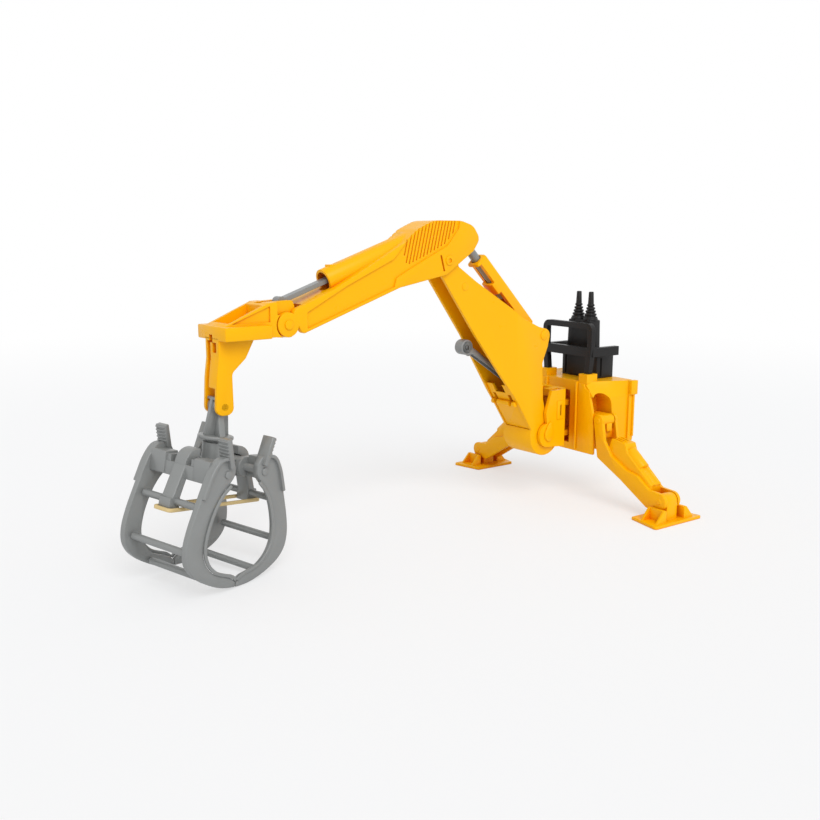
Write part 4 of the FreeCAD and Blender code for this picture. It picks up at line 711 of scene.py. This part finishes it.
def lever(sign):
    """A lever in its ringed boot."""
    x, y = -19.0, 4.7 * sign
    rings = [rod("z", 4.2, (x, y, 98.0), 1.5, 0.3)]
    for number, radius in enumerate((3.9, 3.4, 2.9, 2.5, 2.1)):
        rings.append(rod("z", radius, (x, y, 99.2 + 1.75 * number), 1.2, 0.3))
        rings.append(rod("z", radius - 0.9, (x, y, 98.8 + 1.75 * number), 2.4))
    rings.append(rod("z", 1.7, (x, y, 107.0), 7.4, 0.4, 1.35))
    return carve(rings[0], add=rings[1:])


def console():
    """The lever console: a slotted lower box and a tower that tapers upwards."""
    lower = block((-29.5, -16.0), (-13.6, 13.6), (66.0, 79.0), 0.4)
    tower = prism([(-9.2, 78.0), (9.2, 78.0), (8.5, 98.6, 0.8), (-8.5, 98.6, 0.8)], -23.0, -15.0, "yz", 0.4)
    cuts = [block((-16.8, -15.0), (9.8, 11.2), (67.0, 77.6)),
            block((-16.8, -15.0), (-11.2, -9.8), (67.0, 77.6))]
    cuts += both(lambda sign: block((-20.2, -18.6), span(sign, 12.9, 14.0), (67.0, 77.6)))
    cuts += both(lambda sign: block((-19.6, -18.4), span(sign, 8.7, 9.6), (80.0, 96.0)))
    return carve(lower, add=[tower], take=cuts)


def band_half():
    """Half of the rubber band, from the middle round one hook block."""
    runs = [2.0 * step for step in range(12)]
    outline = [(x, -5.4) for x in runs] + [(26.2, -5.4, 2.0),
                                           (26.2, 5.4, 2.0)] + [(x, 5.4) for x in reversed(runs)]
    outline += [(x, 4.2) for x in runs] + [(25.0, 4.2, 1.0),
                                           (25.0, -4.2, 1.0)] + [(x, -4.2) for x in reversed(runs)]
    return prism(outline, BAND_LOW, BAND_HIGH, "xy", 0.35)



def paper_floor(scene, stage):
    """A matt white floor that runs out into white away from the object."""
    sheet = bmesh.new()
    bmesh.ops.create_grid(sheet, x_segments=1, y_segments=1, size=6.0)
    mesh = bpy.data.meshes.new("paper_sweep")
    sheet.to_mesh(mesh)
    sheet.free()
    floor = bpy.data.objects.new("paper_sweep", mesh)
    scene.collection.objects.link(floor)
    paper = bpy.data.materials.new("Matt white paper")
    paper.use_nodes = True
    tree = paper.node_tree
    tree.nodes.clear()
    place = add_node(tree, "TexCoord").outputs["Object"]
    fibre = add_node(tree, "TexNoise", sockets={"Scale": 1.0 / (2.0 * MM), "Detail": 2.0},
                     links={"Vector": place})
    bump = add_node(tree, "Bump", sockets={"Strength": 0.05, "Distance": 0.02 * MM},
                    links={"Height": fibre.outputs["Fac"]})
    matt = add_node(tree, "BsdfPrincipled", sockets={"Base Color": linear(stage.floor), "Roughness": 0.9,
                                                     "Specular IOR Level": 0.15},
                    links={"Normal": bump.outputs["Normal"]})
    spread = add_node(tree, "VectorMath", {"operation": "LENGTH"}, links={"Vector": place})
    edge = add_node(tree, "MapRange", {"interpolation_type": "SMOOTHSTEP"},
                    {"From Min": stage.fade_near, "From Max": stage.fade_far, "To Min": stage.floor_white,
                     "To Max": 1.0}, {"Value": spread.outputs["Value"]})
    ray = add_node(tree, "LightPath")
    seen = add_node(tree, "Math", {"operation": "MULTIPLY"})
    tree.links.new(ray.outputs["Is Camera Ray"], seen.inputs[0])
    tree.links.new(edge.outputs["Result"], seen.inputs[1])
    white = add_node(tree, "Emission", sockets={"Color": (1.0, 1.0, 1.0, 1.0), "Strength": 1.0})
    mixed = add_node(tree, "MixShader")
    tree.links.new(seen.outputs[0], mixed.inputs[0])
    tree.links.new(matt.outputs["BSDF"], mixed.inputs[1])
    tree.links.new(white.outputs["Emission"], mixed.inputs[2])
    add_node(tree, "OutputMaterial", links={"Surface": mixed.outputs["Shader"]})
    mesh.materials.append(paper)


def white_room(scene, stage):
    """White walls as the camera and the gloss see them, and an even soft light."""
    world = bpy.data.worlds.new("White room")
    scene.world = world
    world.use_nodes = True
    tree = world.node_tree
    tree.nodes.clear()
    ray = add_node(tree, "LightPath")
    seen = add_node(tree, "Math", {"operation": "MAXIMUM"})
    tree.links.new(ray.outputs["Is Camera Ray"], seen.inputs[0])
    tree.links.new(ray.outputs["Is Glossy Ray"], seen.inputs[1])
    level = add_node(tree, "MapRange", sockets={"To Min": stage.sky, "To Max": 1.0},
                     links={"Value": seen.outputs[0]})
    glow = add_node(tree, "Background", sockets={"Color": (1.0, 1.0, 1.0, 1.0)},
                    links={"Strength": level.outputs["Result"]})
    add_node(tree, "OutputWorld", links={"Surface": glow.outputs["Background"]})


def key_lamp(scene, stage):
    """One broad lamp from above, on the left outrigger's side."""
    lamp = bpy.data.lights.new("key_light", "SUN")
    lamp.energy = stage.key
    lamp.angle = math.radians(38.0)
    holder = bpy.data.objects.new("key_light", lamp)
    holder.rotation_euler = Vector((-0.22, -0.80, -0.72)).to_track_quat("-Z", "Y").to_euler()
    scene.collection.objects.link(holder)


def photo_camera(scene, stage):
    """The camera where the photograph was taken."""
    lens = bpy.data.cameras.new("photo_camera")
    lens.sensor_width = 36.0
    lens.lens = stage.camera_lens
    lens.clip_start = 0.01
    lens.clip_end = 50.0
    camera = bpy.data.objects.new("photo_camera", lens)
    camera.location = stage.camera_at
    camera.rotation_euler = (math.pi / 2 - stage.camera_down, 0.0, stage.camera_yaw)
    scene.collection.objects.link(camera)
    scene.camera = camera


class ARM_OT_finishes(Operator):
    """Give every moulded piece its plastic"""

    bl_idname = "arm.finishes"
    bl_label = "Moulded Finishes"

    def execute(self, context):
        made = finishes()
        slots = {row["node"]: row["material_slot"] for row in frame["record"]["subparts"]}
        for name, node in frame["nodes"].items():
            node.data.materials.clear()
            node.data.materials.append(made[slots[name]])
        return {"FINISHED"}


class ARM_OT_boom(Operator):
    """Boom, its cover and the stick cylinder's housing"""

    bl_idname = "arm.boom"
    bl_label = "Boom"

    def execute(self, context):
        piece("boom_shell", boom_shell(), ARM, "boom", "yellow", "boom")
        piece("boom_front_cover", boom_cover(), ARM, "boom", "yellow", "boom_cover")
        at = ARM @ Matrix.Translation((HORN[0], 0.0, HORN[1])) @ Matrix.Rotation(math.radians(-45.0), 4, "Y")
        piece("cylinder_housing", cylinder_housing(), at, "cylinder", "yellow", "stick_cylinder")
        at = ARM @ Matrix.Translation((LIFT_FOOT[0], 0.0, LIFT_FOOT[1]))
        at = at @ Matrix.Rotation(-math.atan2(LIFT_RISE, LIFT_RUN), 4, "Y")
        piece("push_rod", push_rod(), at, "lift_rod", "grey", "lift_rod")
        return {"FINISHED"}


class ARM_OT_stick(Operator):
    """Stick with its ribbed head and tilt tube"""

    bl_idname = "arm.stick"
    bl_label = "Stick"

    def execute(self, context):
        piece("stick_shell", stick_shell(), ARM, "stick", "yellow", "stick")
        sockets = both(lambda sign: rod("y", 1.2, (ELBOW[0], span(sign, 8.6, 10.6)[0], ELBOW[1]), 2.0,
                                        sides=6))
        head = carve(across(2.4, *ELBOW, 9.25, 0.3), take=sockets)
        piece("elbow_pin_head", head, ARM, "stick", "yellow", "elbow_pin")
        return {"FINISHED"}


class ARM_OT_carrier(Operator):
    """Tool carrier, its tip pin and the hanger's fins"""

    bl_idname = "arm.carrier"
    bl_label = "Tool Carrier"

    def execute(self, context):
        piece("carrier_body", carrier_body(), ARM, "carrier", "yellow", "tool_carrier")
        piece("tip_pin_head", across(2.1, *TIP, 9.5, 0.35), ARM, "carrier", "yellow", "tip_pin")
        piece("hanger_fins", hanger_fins(), HANG, "hanger", "grey", "hanger")
        return {"FINISHED"}


class ARM_OT_jaws(Operator):
    """Curved jaw arms, hubs and long jaw pins"""

    bl_idname = "arm.jaws"
    bl_label = "Jaws"

    def execute(self, context):
        for side, place in (("left", GRAPPLE), ("right", GRAPPLE @ HALF_TURN)):
            body = "jaw_" + side
            for end, low, grow in (("near", JAW_NEAR_FACE, 1), ("far", -JAW_FAR_FACE, -1)):
                piece("jaw_curve_%s_%s" % (side, end), jaw_arm(low, grow), place, body, "grey",
                      "jaw_arm_%s_%s" % (side, end))
            piece("jaw_strap_" + side, jaw_hub(), place, body, "grey", "jaw_hub_" + side)
            piece("jaw_long_pin_" + side, across(1.7, *JAW_PIN, 20.9, 0.3), place, "grapple", "grey",
                  "jaw_pin_" + side)
        return {"FINISHED"}


class ARM_OT_band(Operator):
    """The rubber band that pulls the jaws together"""

    bl_idname = "arm.band"
    bl_label = "Rubber Band"

    def execute(self, context):
        for side, place in (("left", GRAPPLE), ("right", GRAPPLE @ HALF_TURN)):
            half = piece("rubber_band_" + side, band_half(), place, None, "rubber")
            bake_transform(half)
        return {"FINISHED"}


class ARM_OT_legs(Operator):
    """Outriggers with their moulded cylinders, and the feet"""

    bl_idname = "arm.legs"
    bl_label = "Outriggers"

    def execute(self, context):
        place = Matrix.Translation((-8.0, 0.0, 0.0))
        for (side, sign), turn in zip(SIDES, (STILL, HALF_TURN)):
            piece("leg_" + side, leg(sign), place @ turn, "outrigger_" + side, "yellow", "outrigger_" + side)
            piece("foot_pad_" + side, foot(), place @ turn, "foot_" + side, "yellow", "foot_" + side)
        return {"FINISHED"}


class ARM_OT_base(Operator):
    """Base walls and lugs, post bosses, lever console and levers"""

    bl_idname = "arm.base"
    bl_label = "Base"

    def execute(self, context):
        piece("console_box", console(), STILL, "base", "black", "lever_console")
        for side, sign in SIDES:
            piece("base_wall_" + side, base_wall(sign), STILL, "base", "yellow")
            piece("base_rear_lug_" + side, base_rear_lug(sign), STILL, "base", "yellow")
            piece("post_boss_" + side, post_boss(sign), ARM, "post", "yellow")
            piece("lever_" + side, lever(sign), STILL, "base", "black", "lever_boot_" + side)
        return {"FINISHED"}


class ARM_OT_stage(Operator):
    """Set up the paper sweep, the lamps and the camera"""

    bl_idname = "arm.stage"
    bl_label = "Photo Stage"

    def execute(self, context):
        scene = context.scene
        stage = scene.arm_stage
        scene.view_settings.view_transform = "Standard"
        for make in (paper_floor, white_room, key_lamp, photo_camera):
            make(scene, stage)
        return {"FINISHED"}


class ARM_PT_panel(Panel):
    """Every step of the dressing, in order"""

    bl_label = "Grapple Arm"
    bl_idname = "ARM_PT_panel"
    bl_space_type = "VIEW_3D"
    bl_region_type = "UI"
    bl_category = "Grapple Arm"

    def draw(self, context):
        for group in (context.scene.arm_finish, context.scene.arm_forms, context.scene.arm_stage):
            for name in group.__annotations__:
                self.layout.prop(group, name)
        for step in STEPS:
            self.layout.operator(step)


STEPS = ("arm.finishes", "arm.boom", "arm.stick", "arm.carrier", "arm.jaws", "arm.band", "arm.legs",
         "arm.base", "arm.stage")
CLASSES = (ArmFinish, ArmForms, ArmStage, ARM_OT_finishes, ARM_OT_boom, ARM_OT_stick, ARM_OT_carrier,
           ARM_OT_jaws,
           ARM_OT_band, ARM_OT_legs, ARM_OT_base, ARM_OT_stage, ARM_PT_panel)


def register():
    for cls in CLASSES:
        bpy.utils.register_class(cls)
    bpy.types.Scene.arm_finish = PointerProperty(type=ArmFinish)
    bpy.types.Scene.arm_forms = PointerProperty(type=ArmForms)
    bpy.types.Scene.arm_stage = PointerProperty(type=ArmStage)


def unregister():
    del bpy.types.Scene.arm_finish
    del bpy.types.Scene.arm_forms
    del bpy.types.Scene.arm_stage
    for cls in reversed(CLASSES):
        bpy.utils.unregister_class(cls)


def main():
    register()
    for step in STEPS:
        group, name = step.split(".")
        getattr(getattr(bpy.ops, group), name)()


if __name__ == "__main__":
    main()
